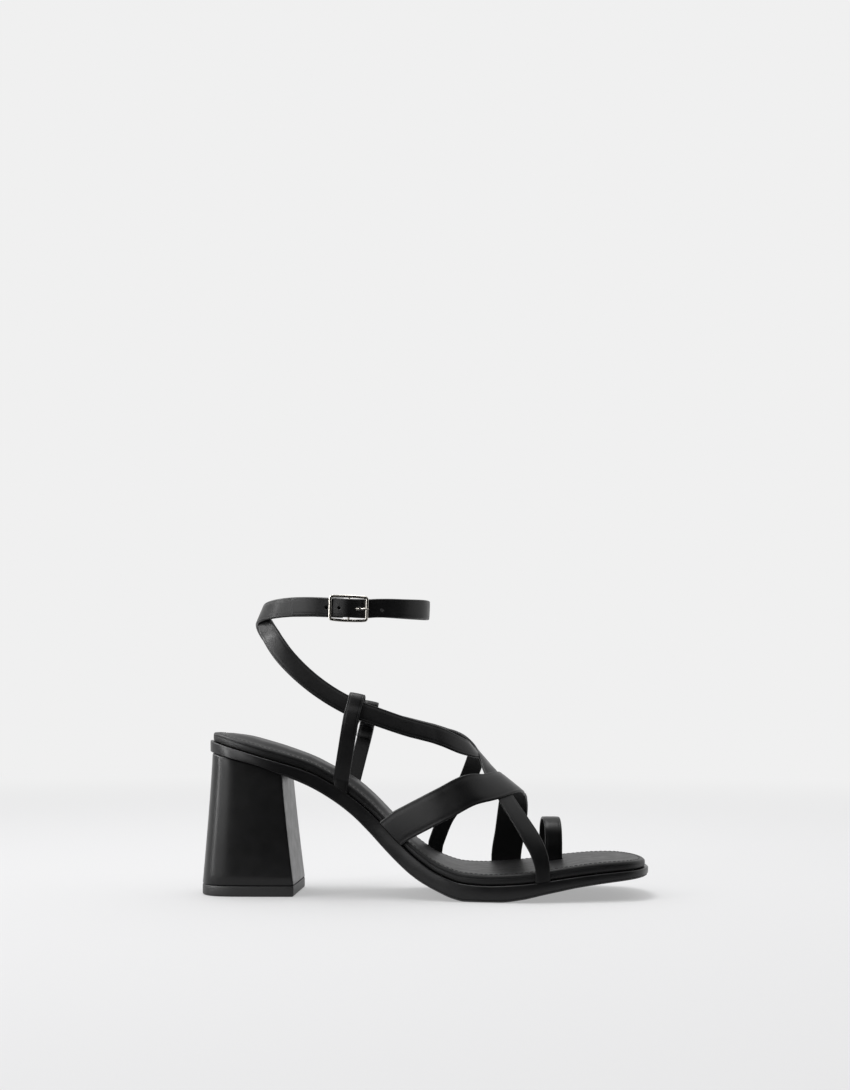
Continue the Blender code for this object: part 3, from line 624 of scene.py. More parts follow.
def insole_rings():
    rows = [(inset * MM, lift * MM, share) for inset, lift, share in INSOLE_SIDE]
    rows += [(inward, -down, 1) for inward, down in rounded(RIM_ROUND, low=False, steps=RIM_STEPS)]
    rows += [(STITCH_INSET + inset * MM, lift * MM, 1) for inset, lift in STITCH_GROOVE]
    levels = [(INSOLE_INSET + inset, lambda x, lift=lift, share=share: joint(x) + share * thick(x) + lift)
              for inset, lift, share in rows]
    loop = plan(BACK_END, TOE_END)
    rings = layers(loop, levels)
    rim = offset(loop, levels[-1][0])
    for share in TOP_SHARES:
        t = min(share / 0.5, 1)
        up = t * t * (3 - 2 * t)
        ring = []
        for x, y in drawn_in(rim, share):
            z = joint(x) + thick(x) + rows[-1][1] * (1 - up) + (crown(x) - thick(x)) * up
            ring.append((x, y, z + flex_wrinkle(x, y) * min(share / 0.2, 1)))
        rings.append(ring)
    return rings


insole_levels = insole_rings()
insole_piece = stack("insole_pad", insole_levels, SOCK_LEATHER)
print("insole", face_count(insole_piece), "faces in", len(insole_levels), "rings")

# %% [markdown]
# The heel is a plastic block covered in the wrap leather, with a rubber top piece pinned under it. It
# flares towards the floor at the front and leans out at the back. Its back corners are round and its
# front corners crisp, with the cover's edge turned under along them in a fine groove.

# %% Heel block and top piece
HEEL_BASE_LENGTH, HEEL_BASE_WIDTH = 51.4 * MM, 44.4 * MM
HEEL_NECK_LENGTH, HEEL_NECK_WIDTH = 39.5 * MM, 43.0 * MM
HEEL_LEAN = 5.5 * MM
HEEL_SQUARE = 2.9
TOP_PIECE = 5.7 * MM
BREAST_ROUND = 0.9 * MM
BREAST_SEAM = 0.35 * MM
# share of the height, inset
HEEL_LEVELS = [(0, 0.5), (0.002, 0.2), (0.008, 0), *((i / 12, 0) for i in range(1, 12)), (0.985, 0),
               (0.994, 0.2), (1, 0.6)]
# inset, height
LIFT_LEVELS = [(1.0, 0.0), (0.5, 0.12), (0.15, 0.4), (0.0, 0.9), (0.0, 4.9), (0.1, 5.4), (0.4, 5.65)]


def heel_plan(share, seam=True):
    """Plan of the heel at a share of its height, up the lateral side and back down the medial one."""
    down = 1 - share
    back = -HEEL_BASE_LENGTH / 2 + HEEL_LEAN * (1 - down ** 1.2)
    neck_front = -HEEL_BASE_LENGTH / 2 + HEEL_LEAN + HEEL_NECK_LENGTH
    front = neck_front + (HEEL_BASE_LENGTH / 2 - neck_front) * down ** 1.1
    half = (HEEL_NECK_WIDTH + (HEEL_BASE_WIDTH - HEEL_NECK_WIDTH) * down ** 1.35) / 2
    shoulder = back + 0.42 * (front - back)
    row = [(back, 0.22 * half * s) for s in (0.02, 0.35, 0.7)]
    for i in range(34):
        x = back + (front - BREAST_ROUND - back) * (1 - cos(pi / 2 * i / 33))
        if x < shoulder:
            t = (shoulder - x) / (shoulder - back)
            y = half * max(1 - t ** HEEL_SQUARE, 0) ** (1 / HEEL_SQUARE)
        else:
            y = half * (1 - 0.045 * ((x - shoulder) / (front - shoulder)) ** 2)
        row.append((x, max(y, 0.22 * half)))
    corner = row[-1][1]
    if seam:
        row += [(front - behind * BREAST_ROUND, corner - deep * BREAST_SEAM)
                for behind, deep in ((0.62, 0.1), (0.5, 1), (0.38, 0.2))]
    row += [(front - 0.38 * BREAST_ROUND * (1 - sin(a)), corner - 0.7 * BREAST_ROUND * (1 - cos(a)))
            for a in np.radians((30, 60, 90))]
    row += [(front, corner * s) for s in (0.8, 0.55, 0.3, 0.02)]
    return [(x, -y) for x, y in row] + [(x, y) for x, y in reversed(row)]


def heel_block():
    low = TOP_PIECE + 0.25 * MM
    rings = [[(x, y, low + (under(x) - 0.2 * MM - low) * share)
              for x, y in offset(heel_plan(share), inset * MM)] for share, inset in HEEL_LEVELS]
    return stack("heel_cover", rings, WRAP_LEATHER, sharp=50)


def heel_top_piece():
    loop = heel_plan(0.0, seam=False)
    rings = [[(x, y, z * MM) for x, y in offset(loop, inset * MM)] for inset, z in LIFT_LEVELS]
    return stack("heel_top_lift", rings, RUBBER, sharp=50)


heel_piece = heel_block()
lift_piece = heel_top_piece()
print("heel", face_count(heel_piece), "faces, top piece", face_count(lift_piece))

# %% [markdown]
# A strap is a strip of leather with its two edges folded under and pressed, so its section is a flat
# oval with full round edges and a slight crown. It is swept along its route over the last. Where it
# bends hard, the leather gathers in soft folds: these creases are placed one by one.

# %% Strap routes
STRAP_WIDTH, STRAP_THICKNESS = 10.2 * MM, 1.6 * MM
WIDE_STRAP_WIDTH = 17.0 * MM
PRESSED = 0.09 * MM    # depth of the line pressed along each edge of a strap
LOW_LIFT = 1.2    # a lift under 1, at a crossing, grows by this so that the strap clears the lower one's crown
# share of the way along the strap, share of its full width
TAPER_ONE = [(0, 0.88), (0.12, 0.97), (0.2, 1), (0.84, 1), (0.9, 0.95), (1, 0.93)]
TAPER_TWO = [(0, 0.75), (0.05, 0.93), (0.12, 1), (1, 1)]


def over(form, *rows):
    """The part of a route over one form of the last."""
    return [(form, *row) for row in rows]


# two coordinates on the form, then lift in strap thicknesses and roll towards up in degrees where they aren't 0
STRAP_ONE = over(
    foot, (98.9, 88.3), (100.6, 85), (103.9, 78.5), (110.8, 66, 0, 2), (115.6, 52, 0, 8),
    (118.8, 36, 0, 20), (120.4, 19, 0, 24), (120.2, 2, 0, 12)) + over(
    ankle, (-13, 76.9, 0, 4), (-26, 79.3, 0, 4), (-40.3, 84.1, 0, 8), (-60.3, 89.1, 0, 18),
    (-74.8, 94.3, 0, 22), (-84.5, 98.3, 0, 24), (-91.8, 102.9, 0, 30), (-101.4, 109.4, 0, 34),
    (-114, 117.9, 0, 36), (-128.7, 127.5, 0, 35), (-142.9, 136.3, 0, 30), (-155, 142.2, 0, 24),
    (-167, 146.8, 0, 19), (-179.9, 150.2, 0, 20), (167, 152.8, 0, 16), (154, 154.6, 0, 8), (140, 155.6),
    (125, 156.1), (98, 156.4), (72, 155.9, 0, -2), (40, 154, 0, -8), (14, 152.6, 0, -10),
    (-18, 151.7, 0, -10), (-42.6, 151.2, 0, -7), (-60, 151.1, 0, -2), (-68.4, 150.9), (-73.2, 150.6),
    (-76.2, 150.5, 0.3), (-80.4, 150.5, 1.5), (-85.2, 150.7, 2.2), (-89.8, 150.9, 1.85),
    (-93.8, 151.1, 1.35), (-97.4, 151.3, 1.19), (-105, 151.7, 1.19), (-113, 151.9, 1.19),
    (-122.5, 151.9, 1.19))
STRAP_TWO = over(
    foot, (155.4, -88.3), (155.0, -84), (153.2, -73.6), (149.6, -61.9), (145.5, -52.3, 0, 4),
    (140.4, -43.2, 0, 8), (134.5, -31, 0.2, 14), (128.4, -17, 0.82, 18), (124.3, -3, 0.85, 14),
    (121, 12, 0.85, 12)) + over(
    ankle, (24, 80.0, 0.7, 14), (41, 84.8, 0, 20), (62.4, 89.4, 0, 26), (78.5, 93.5, 0, 27),
    (86.6, 96.9, 0, 28), (95.4, 101.7, 0, 33), (107, 108.4, 0, 36), (121, 117.2, 0, 36),
    (136.5, 127, 0.1, 33), (151, 135.7, 0.7, 26), (166, 142.0, 0.86, 18), (179.9, 145.9, 0.86, 18),
    (-167, 148.3, 0.86, 16), (-154.9, 149.7, 0.86, 10), (-139.4, 151.1, 0.6, 4), (-125, 151.9),
    (-110, 151.8), (-98.4, 151.4), (-88.4, 150.9))
WIDE_STRAP = over(
    foot, (83.2, -87.5), (93, -79.6), (105.9, -68.2), (118, -51.5, 0.5), (128.2, -34.9, 0.86),
    (135.6, -18, 0.86), (139.8, 3, 0.4), (141.5, 27), (141.2, 50), (140, 71), (138.4, 84), (138, 88.4))
# share of the way along the strap, slant, depth and width in millimetres
CREASES_ONE = [(0.235, 0.5, 0.16, 1.6), (0.262, 0.4, -0.10, 1.4), (0.478, -0.5, 0.20, 2.2),
               (0.505, -0.6, -0.14, 1.8), (0.535, -0.4, 0.16, 2.0), (0.872, 0.1, 0.10, 1.2)]
CREASES_TWO = [(0.20, 0.5, 0.14, 1.6), (0.34, -0.4, 0.16, 1.8), (0.37, -0.5, -0.10, 1.5),
               (0.70, 0.5, 0.20, 2.2), (0.74, 0.5, -0.12, 1.8)]
CREASES_WIDE = [(0.14, 0.6, 0.14, 2.4), (0.60, -0.3, 0.18, 2.6), (0.68, -0.4, -0.12, 2.2),
                (0.90, 0.2, 0.12, 1.8)]
print(len(STRAP_ONE) + len(STRAP_TWO) + len(WIDE_STRAP), "route points for three straps")

# %% Sweeping a strap


def trace(points):
    """Fine smooth line through the points, with its running length and the points' own numbering."""
    p = np.array(points, float)
    knots = np.concatenate([[0], np.cumsum(np.linalg.norm(np.diff(p, axis=0), axis=1))])
    slope = np.gradient(p, knots, axis=0)
    fine, number = [], []
    for i in range(len(p) - 1):
        h = knots[i + 1] - knots[i]
        for s in np.linspace(0, 1, 24, endpoint=False):
            fine.append((1 + 2 * s) * (1 - s) ** 2 * p[i] + s * (1 - s) ** 2 * h * slope[i]
                        + s * s * (3 - 2 * s) * p[i + 1] - s * s * (1 - s) * h * slope[i + 1])
            number.append(i + s)
    fine.append(p[-1])
    number.append(len(p) - 1)
    fine = np.array(fine)
    return fine, np.concatenate([[0], np.cumsum(np.linalg.norm(np.diff(fine, axis=0), axis=1))]), number


def read_at(places, known, rows):
    """Points of a list of rows at other places along it."""
    rows = np.array(rows)
    return np.array([np.interp(places, known, rows[:, k]) for k in range(3)]).T


def strap_section(a, b, crown_height):
    """Flat oval: half width a, half thickness b, from the inner face round the edge to the outer one."""
    r = 0.92 * b
    right = [(a - r + r * sin(t), -(b - r) - r * cos(t)) for t in np.linspace(0, pi / 2, 5)]
    right += [(a - r + r * cos(t), (b - r) + r * sin(t)) for t in np.linspace(0.2, pi / 2, 5)]
    flat = (a - r) * np.array([0.97, 0.9, 0.83, 0.6, 0.3, 0, -0.3, -0.6, -0.83, -0.9, -0.97])
    pressed = [PRESSED if 0.85 < abs(u) / (a - r) < 0.95 else 0 for u in flat]
    outer = [(u, b + crown_height * (1 - (u / (a - r)) ** 2) - dip) for u, dip in zip(flat, pressed)]
    left = [(-u, v) for u, v in reversed(right)]
    inner = [(-u, -b) for u in flat]
    section = right + outer + left + inner
    edge_start, outer_end = 2, len(right) + len(outer) + len(left) - 3
    lining = [not edge_start <= k < outer_end for k in range(len(section))]
    return section, lining


def footing(station, side, sense, section, band):
    """End ring on the side of the insole, set into the joint over the platform."""
    centre = station * MM
    rise = (joint(centre + MM) - joint(centre - MM)) / (2 * MM)
    ring = []
    for u, v in section:
        x = centre + sense * u / hypot(1, rise)
        ring.append(np.array([x, wall(x, side) + side * (0.1 * MM + band / 2 + v), joint(x) - HALF_GAP]))
    return ring


def sweep(name, points, normals, width, band, spacing=1.2 * MM, start=None, end=None, creases=(), tips=(0, 0),
          taper=((0, 1), (1, 1))):
    """Band swept along points, facing along the normals.

    start and end are the station and side where an end stands in the joint. tips are the corner
    radii of a free start and end.
    """
    fine, run, number = trace(points)
    length = run[-1]
    at = list(np.linspace(0, length, max(4, int(round(length / spacing)) + 1)))
    for radius, place in zip(tips, (0, length)):
        if radius:
            at += [abs(place - radius * (1 - cos(pi / 2 * i / 7))) for i in range(1, 7)]
    at = sorted(at)
    path = read_at(at, run, fine)
    facing = read_at(np.interp(at, run, number), range(len(normals)), normals)
    for _ in range(6 if spacing > 1.0 * MM else 2):
        facing[1:-1] = facing[:-2] / 4 + facing[1:-1] / 2 + facing[2:] / 4
    section, lining = strap_section(width / 2, band / 2, 0.06 * band)
    rings = []
    for s, p, t, n in zip(at, path, np.gradient(path, axis=0), facing):
        t = unit(t)
        n = unit(n - t * (n @ t))
        across = np.cross(t, n)
        slim = np.interp(s / length, *zip(*taper))
        narrow, thin = slim, 1.0
        for radius, away in zip(tips, (s, length - s)):
            if radius and away < radius:
                cut_off = radius - sqrt(max(radius ** 2 - (radius - away) ** 2, 0))
                narrow = min(narrow, slim - 2 * cut_off / width)
                thin = min(thin, 0.45 + 0.55 * sqrt(min(away / (0.5 * band), 1)))
        ring = []
        for u, v in section:
            dent = sum(deep * MM * exp(-((s - part * length - slant * u) / (wide * MM)) ** 2)
                       for part, slant, deep, wide in creases)
            ring.append(p + across * u * narrow + n * (v * thin - dent))
        rings.append(ring)
    for stand, last in ((start, 0), (end, -1)):
        if stand:
            sense = stand[1] if last else -stand[1]
            foot_ring = footing(*stand, sense, [(u * taper[last][1], v) for u, v in section], band)
            between = [[(1 - w) * np.array(a) + w * np.array(b) for a, b in zip(rings[last], foot_ring)]
                       for w in (0.25, 0.5, 0.75)]
            rings = rings + between + [foot_ring] if last else [foot_ring] + between[::-1] + rings
    k = len(section)
    index = [int(lining[i] and lining[(i + 1) % k]) for i in range(k)] * (len(rings) - 1) + [0, 0]
    faces = tube(k, len(rings)) + caps(k, len(rings))
    return finish(name, rings, faces, [STRAP_LEATHER, LINING], index, sharp=55)


def rolled(n, degrees):
    """Normal rolled towards up."""
    return unit(n * cos(radians(degrees)) + np.array([0, 0, sin(radians(degrees))]))


def strap(name, rows, width, creases, **ends):
    points, normals = [], []
    for form, u, v, *more in rows:
        lift, roll = (*more, 0, 0)[:2]
        n = rolled(outward(form, u, v), roll)
        raised = lift * LOW_LIFT if lift < 1 else lift
        points.append(form(u, v) + n * (CLEARANCE + (0.5 + raised) * STRAP_THICKNESS))
        normals.append(n)
    thing = sweep(name, points, normals, width, STRAP_THICKNESS, creases=creases, **ends)
    print(name, round(trace(points)[1][-1] / MM), "mm long,", face_count(thing), "faces")
    return thing


strap_one = strap("strap_one", STRAP_ONE, STRAP_WIDTH, CREASES_ONE, start=(97.6, 1), tips=(0, 1.6 * MM),
                  taper=TAPER_ONE)
strap_two = strap("strap_two", STRAP_TWO, STRAP_WIDTH, CREASES_TWO, start=(155.8, -1), taper=TAPER_TWO)
wide_strap = strap("wide_strap", WIDE_STRAP, WIDE_STRAP_WIDTH, CREASES_WIDE, start=(77.0, -1), end=(138.0, 1))

# %% [markdown]
# The keepers are narrow strips that come up out of the joint, fold over an instep strap and go back
# down inside it, where the end is stitched. The loop round the big toe is the same strip bent into an
# arch, with one end in the joint and the other in a slot of the insole.

# %% Keepers and toe loop
SIDE_LOOP_WIDTH, TOE_LOOP_WIDTH = 8.3 * MM, 9.4 * MM
LOOP_THICKNESS, LOOP_SLACK = 1.4 * MM, 1.0 * MM
TOE_LOOP_HEIGHT, TOE_LOOP_SPAN = 21.9 * MM, 29.5 * MM
TOE_SLOT_DEPTH = 3.4 * MM
TOE_LOOP_STATION, TOE_LOOP_FOOT = 162.2 * MM, 161.2
# side: angle, height and roll of the strap where the keeper holds it, station of the keeper's foot
KEEPERS = {-1: (-85.3, 98.7, 25, 50.6), 1: (83.7, 95.6, 28, 52.8)}
# share of the way across the toe, share of the height, after the end in the slot
TOE_ARCH = [(-0.002, 0.12), (-0.008, 0.45), (0.07, 0.78), (0.26, 0.96), (0.5, 1.0), (0.74, 0.94), (0.93, 0.74),
            (1.005, 0.45), (1.0, 0.04)]


def keeper(name, side):
    """Returns the keeper and the line of its stitches: a point, the way up and the way out."""
    angle, height, roll, station = KEEPERS[side]
    n = rolled(outward(ankle, angle, height), roll)
    eye = ankle(angle, height) + n * (CLEARANCE + STRAP_THICKNESS / 2)
    x = station * MM
    foot_at = np.array([x, wall(x, side) + side * (CLEARANCE + LOOP_THICKNESS / 2), joint(x)])
    up = unit(eye - foot_at)
    up = unit(up - n * (up @ n))
    out = STRAP_THICKNESS / 2 + LOOP_SLACK + LOOP_THICKNESS / 2
    tall = STRAP_WIDTH / 2 + 0.8 * MM
    step = LOOP_THICKNESS + 0.15 * MM
    low = eye + n * step / 2 - up * (tall + 2.6 * MM)
    shoulder = foot_at + MM * np.array([0.3, side * 0.2, 5.2])
    down = unit(shoulder - low)
    m = unit(np.array([0, side, 0]) - down * (down[1] * side))
    rows = [(out, -tall + 0.8 * MM, 0), (out, 0, 0), (out, tall - 0.6 * MM, 0),
            (out * 0.6, tall + out * 0.5, 1), (-out * 0.6, tall + out * 0.5, 2),
            (-out, tall - 0.6 * MM, 3), (-out, 0, 3), (-out, -tall + 0.8 * MM, 3)]
    turns = [n, unit(n * 0.75 + up), unit(-n * 0.75 + up), -n]
    points = [shoulder, shoulder * 0.5 + low * 0.5 + m * 0.4 * MM, low]
    points += [eye + n * a + up * b for a, b, _ in rows]
    points += [low - m * step, low - m * step + down * 7.5 * MM]
    normals = [unit([0, side, 0]), m, unit(m + n), *(turns[turn] for _, _, turn in rows), -unit(m + n), -m]
    thing = sweep(name, points, normals, SIDE_LOOP_WIDTH, LOOP_THICKNESS, spacing=0.5 * MM,
                  start=(station, side), tips=(0, 0.7 * MM))
    return thing, low, down, m


def toe_loop():
    x = TOE_LOOP_STATION
    outer = wall(x, 1) + CLEARANCE + LOOP_THICKNESS / 2
    inner = outer - TOE_LOOP_SPAN
    top = joint(x) + 5.5 * MM
    rows = [(0, -TOE_SLOT_DEPTH + 0.5 * MM)] + [(s, part * TOE_LOOP_HEIGHT) for s, part in TOE_ARCH]
    points = [(x + (1 - 2 * s) * MM, inner + (outer - inner) * s, top + z) for s, z in rows]
    middle = np.array([x, (inner + outer) / 2, top + 0.45 * TOE_LOOP_HEIGHT])
    away = [np.array(p) - middle for p in points]
    normals = [unit([0, d[1], max(d[2], 0) * 1.3]) for d in away]
    thing = sweep("toe_loop_band", points, normals, TOE_LOOP_WIDTH, LOOP_THICKNESS, spacing=0.8 * MM,
                  end=(TOE_LOOP_FOOT, 1))
    return thing, (x + MM, inner, top)


keeper_lateral, *lateral_seam = keeper("keeper_lateral", -1)
keeper_medial, *medial_seam = keeper("keeper_medial", 1)
toe_band, toe_slot_at = toe_loop()
print("keepers", face_count(keeper_lateral), "faces each, toe loop", face_count(toe_band))

# %% Cutting with another piece


def cut(thing, cutter):
    """Takes the cutter's shape out of the thing, for good."""
    step = thing.modifiers.new("cut", "BOOLEAN")
    step.operation, step.solver, step.object = "DIFFERENCE", "EXACT", cutter
    graph = bpy.context.evaluated_depsgraph_get()
    mesh = bpy.data.meshes.new_from_object(thing.evaluated_get(graph))
    thing.modifiers.clear()
    thing.data = mesh
    bpy.data.objects.remove(cutter)


def prism(name, ends):
    """Solid between two rings."""
    k = len(ends[0])
    return finish(name, ends, caps(k, 2) + tube(k, 2), [LINING])


def slot_cutter():
    """Box with round ends, a little wider than the toe loop's leg."""
    x, y, top = toe_slot_at
    a, b = TOE_LOOP_WIDTH / 2 + 0.35 * MM, LOOP_THICKNESS / 2 + 0.35 * MM
    ring = [(x + sx * (a - b) + b * cos(t), y + b * sin(t))
            for sx, first in ((1, -90), (-1, 90)) for t in np.radians(np.linspace(first, first + 180, 7))]
    return prism("slot_cutter", [[(px, py, top + z) for px, py in ring] for z in (-TOE_SLOT_DEPTH, 4 * MM)])


cut(insole_piece, slot_cutter())
print("slot cut, insole now", face_count(insole_piece), "faces")

# %% [markdown]
# The ankle strap has four punched holes, and the prong sits in one of them. Each is a real hole, cut
# with a short punch that stands square on the strap, because a painted dot would not show the strap's
# thickness when the buckle is looked at from close by.

# %% Buckle placing and strap holes
BUCKLE_TURN, BUCKLE_HEIGHT, BUCKLE_TILT = -85.2, 150.6, 2.0
BUCKLE_BEND = 78 * MM
PRONG_HOLE, PRONG_HOLE_LONG, PRONG_HOLE_HIGH = 5.8 * MM, 2.1 * MM, 1.1 * MM
HOLES, HOLE_RADIUS = (17.0 * MM, -4.8 * MM, -11.4 * MM), 0.8 * MM
PUNCH_LOW, PUNCH_HIGH = -1.2 * MM, 9 * MM


def buckle_place(along, across, off):
    """Point over the lateral side of the ankle strap: along to the toe, across up, off the last."""
    p, n = ankle(BUCKLE_TURN, BUCKLE_HEIGHT), outward(ankle, BUCKLE_TURN, BUCKLE_HEIGHT)
    to_toe = unit(np.cross(n, [0, 0, 1]))
    to_toe = to_toe if to_toe[0] > 0 else -to_toe
    up = unit(np.cross(to_toe, n))
    up = up if up[2] > 0 else -up
    c, s = cos(radians(BUCKLE_TILT)), sin(radians(BUCKLE_TILT))
    return (p + to_toe * (along * c + across * s) + up * (across * c - along * s)
            + n * (off - along * along / (2 * BUCKLE_BEND)))


def punch(along, long, tall, sides=20):
    turns = np.linspace(0, tau, sides, endpoint=False)
    ring = [(along + long * cos(t), tall * sin(t)) for t in turns]
    return prism("punch", [[buckle_place(a, b, z) for a, b in ring] for z in (PUNCH_LOW, PUNCH_HIGH)])


cut(strap_one, punch(PRONG_HOLE, PRONG_HOLE_LONG, PRONG_HOLE_HIGH))
for along in HOLES:
    cut(strap_one, punch(along, HOLE_RADIUS, HOLE_RADIUS))
print("four holes, strap one now", face_count(strap_one), "faces")

# %% [markdown]
# The buckle is a small cast frame with a bar across its middle. The strap's free end passes under
# both end bars and over the middle one. Its wire is a rounded square, because the flat top of a cast
# bar gives one clean bright line where a round wire would give a dull one.

# %% Buckle
BUCKLE_LENGTH, BUCKLE_BAR = 20.4 * MM, 1.5 * MM
MIDDLE_BAR, PRONG_WIRE = 1.2 * MM, 1.0 * MM
MIDDLE_OFF = 1.6 * MM
BUCKLE_CORNER, RAIL_BOW = 1.1 * MM, 0.3 * MM
# along and off the last, from the middle bar to the point
PRONG = [(2.2, 0.85), (2.9, 0.95), (3.6, 1.15), (4.2, 1.45), (4.8, 1.9), (5.4, 2.5), (6.0, 3.15), (6.6, 3.75),
         (7.4, 4.25), (8.4, 4.5), (9.4, 4.5), (10.1, 4.42), (10.4, 4.36)]


def wire(name, rows, radius, closed=False, sides=20, square=3.2, tip=False):
    """Wire through points, its section a rounded square that faces out from the ankle."""
    p = np.array(rows, float)
    run = np.roll(p, -1, axis=0) - np.roll(p, 1, axis=0) if closed else np.gradient(p, axis=0)
    face = outward(ankle, BUCKLE_TURN, BUCKLE_HEIGHT)
    count = len(p)
    rings = []
    for i, (c, t) in enumerate(zip(p, run)):
        t = unit(t)
        across = unit(np.cross(t, face)) if abs(t @ face) < 0.95 else unit(np.cross(t, [1, 0, 0]))
        lift = unit(np.cross(across, t))
        left = min(i, count - 1 - i)
        r = radius * (0.45, 0.8, 0.95)[left] if tip and left < 3 else radius
        ring = []
        for w in (tau * (k + 0.5) / sides for k in range(sides)):
            cw, sw = cos(w), sin(w)
            ring.append(c + across * r * copysign(abs(cw) ** (2 / square), cw)
                        + lift * r * copysign(abs(sw) ** (2 / square), sw))
        rings.append(ring)
    faces = tube(sides, count, closed) + ([] if closed else caps(sides, count))
    return finish(name, rings, faces, [NICKEL], sharp=60)


def buckle_frame():
    half = BUCKLE_LENGTH / 2 - BUCKLE_BAR / 2
    rise = 0.96 * STRAP_WIDTH / 2 + CLEARANCE + BUCKLE_BAR / 2
    right = 2 * CLEARANCE + STRAP_THICKNESS + BUCKLE_BAR / 2
    left, middle = right + 1.25 * STRAP_THICKNESS, MIDDLE_OFF + MIDDLE_BAR / 2
    loop = []
    for sx, sz, off in ((1, -1, right), (1, 1, right), (-1, 1, left), (-1, -1, left)):
        ends = [(sx * (half - BUCKLE_CORNER * (1 - cos(a))),
                 sz * (rise - BUCKLE_CORNER * (1 - sin(a))), off) for a in np.radians((0, 22, 45, 68, 90))]
        rail = [(sx * half * t, sz * (rise + RAIL_BOW * (1 - t * t)), off + (middle - off) * (1 - t * t))
                for t in (0.75, 0.5, 0.25)]
        if (sx, sz) in ((1, 1), (-1, -1)):
            loop += ends + rail + [(0, sz * (rise + RAIL_BOW), middle)]
        else:
            loop += rail[::-1] + ends[::-1]
    frame_wire = wire("buckle", [buckle_place(*row) for row in loop], BUCKLE_BAR / 2, closed=True)
    bar = wire("buckle_middle_bar", [buckle_place(0, z, MIDDLE_OFF) for z in np.linspace(-rise, rise, 9)],
               MIDDLE_BAR / 2, square=2.0)
    return frame_wire, bar


def buckle_prong():
    reach = MIDDLE_BAR / 2 + CLEARANCE * 0.8 + PRONG_WIRE / 2
    turns = np.radians(np.arange(210, -51, -18))
    rows = [(reach * cos(a), 0, MIDDLE_OFF + reach * sin(a)) for a in turns]
    points = [buckle_place(*row) for row in rows] + [buckle_place(a * MM, 0, z * MM) for a, z in PRONG]
    return wire("prong", points, PRONG_WIRE / 2, sides=14, square=2.0, tip=True)


buckle_piece, bar_piece = buckle_frame()
prong_piece = buckle_prong()
print("buckle", face_count(buckle_piece), "faces, prong", face_count(prong_piece))

# %% [markdown]
# Stitches repeat along a line, which is what Geometry Nodes are for. The tree takes a seam as a curve,
# spaces points on it at the stitch length, turns each to the seam's direction and puts a small bead
# of thread there. A bead is a squashed ball: at this size the eye reads it as a pulled stitch.

# %% The stitch tree


def new_tree(name, shape, numbers):
    """Node group with a shape, some numbers and a finish going in, and a shape coming out."""
    tree = bpy.data.node_groups.new(name, "GeometryNodeTree")
    sockets = [(shape, "Geometry"), *((number, "Float") for number in numbers), ("Finish", "Material")]
    for label, kind in sockets:
        tree.interface.new_socket(label, in_out="INPUT", socket_type="NodeSocket" + kind)
    tree.interface.new_socket(name, in_out="OUTPUT", socket_type="NodeSocketGeometry")
    return tree, add(tree, "NodeGroupInput").outputs


def close_tree(tree, instances, chosen_finish, smooth):
    """Ends a tree: the copies become one real mesh, which takes the finish."""
    real = add(tree, "GeometryNodeRealizeInstances", instances)
    if smooth:
        real = add(tree, "GeometryNodeSetShadeSmooth", real)
    add(tree, "NodeGroupOutput", add(tree, "GeometryNodeSetMaterial", real, Material=chosen_finish))


def stitch_tree():
    tree, given = new_tree("Stitches", "Seam", ("Pitch", "Stitch length", "Thread"))
    spaced = add(tree, "GeometryNodeResampleCurve", given["Seam"], mode="LENGTH", Length=given["Pitch"])
    along = add(tree, "GeometryNodeInputTangent")
    turn = add(tree, "FunctionNodeAlignRotationToVector", axis="X", Vector=along)
    ball = add(tree, "GeometryNodeMeshUVSphere", Segments=8, Rings=6, Radius=0.5)
    scale = add(tree, "ShaderNodeCombineXYZ", given["Stitch length"], given["Thread"], given["Thread"])
    bead = add(tree, "GeometryNodeTransform", ball, Scale=scale)
    sewn = add(tree, "GeometryNodeInstanceOnPoints", spaced, Instance=bead, Rotation=turn)
    close_tree(tree, sewn, given["Finish"], smooth=True)
    return tree


STITCHES = stitch_tree()


def grow(name, tree, source, settings):
    """Runs a tree on a source object and keeps the result as a plain mesh."""
    step = source.modifiers.new("grow", "NODES")
    step.node_group = tree
    for item in tree.interface.items_tree:
        if item.item_type == "SOCKET" and item.in_out == "INPUT" and item.name in settings:
            step[item.identifier] = settings[item.name]
    graph = bpy.context.evaluated_depsgraph_get()
    mesh = bpy.data.meshes.new_from_object(source.evaluated_get(graph))
    bpy.data.objects.remove(source)
    mesh.name = name
    thing = link_object(name, mesh)
    print(name, len(mesh.polygons), "faces")
    return thing


def seam_curve(runs, closed=False):
    data = bpy.data.curves.new("seam", "CURVE")
    data.dimensions = "3D"
    for points in runs:
        line = data.splines.new("POLY")
        line.points.add(len(points) - 1)
        for p, q in zip(line.points, points):
            p.co = (*[float(c) for c in q], 1)
        line.use_cyclic_u = closed
    return link_object("seam", data)


# %% Sewing the insole and the keepers
INSOLE_PITCH = 2.6 * MM
STITCH_DROPS = (0.6 * MM, 5.6 * MM)
ROW_HALF = 2.7 * MM


def keeper_rows(seam):
    """Two short rows across a keeper, one at each end of its sewn part."""
    low, down, m = seam
    across = unit(np.cross(down, m))
    starts = [low + down * drop + m * (LOOP_THICKNESS / 2 + 0.06 * MM) for drop in STITCH_DROPS]
    return [[start + across * w for w in (-ROW_HALF, 0, ROW_HALF)] for start in starts]


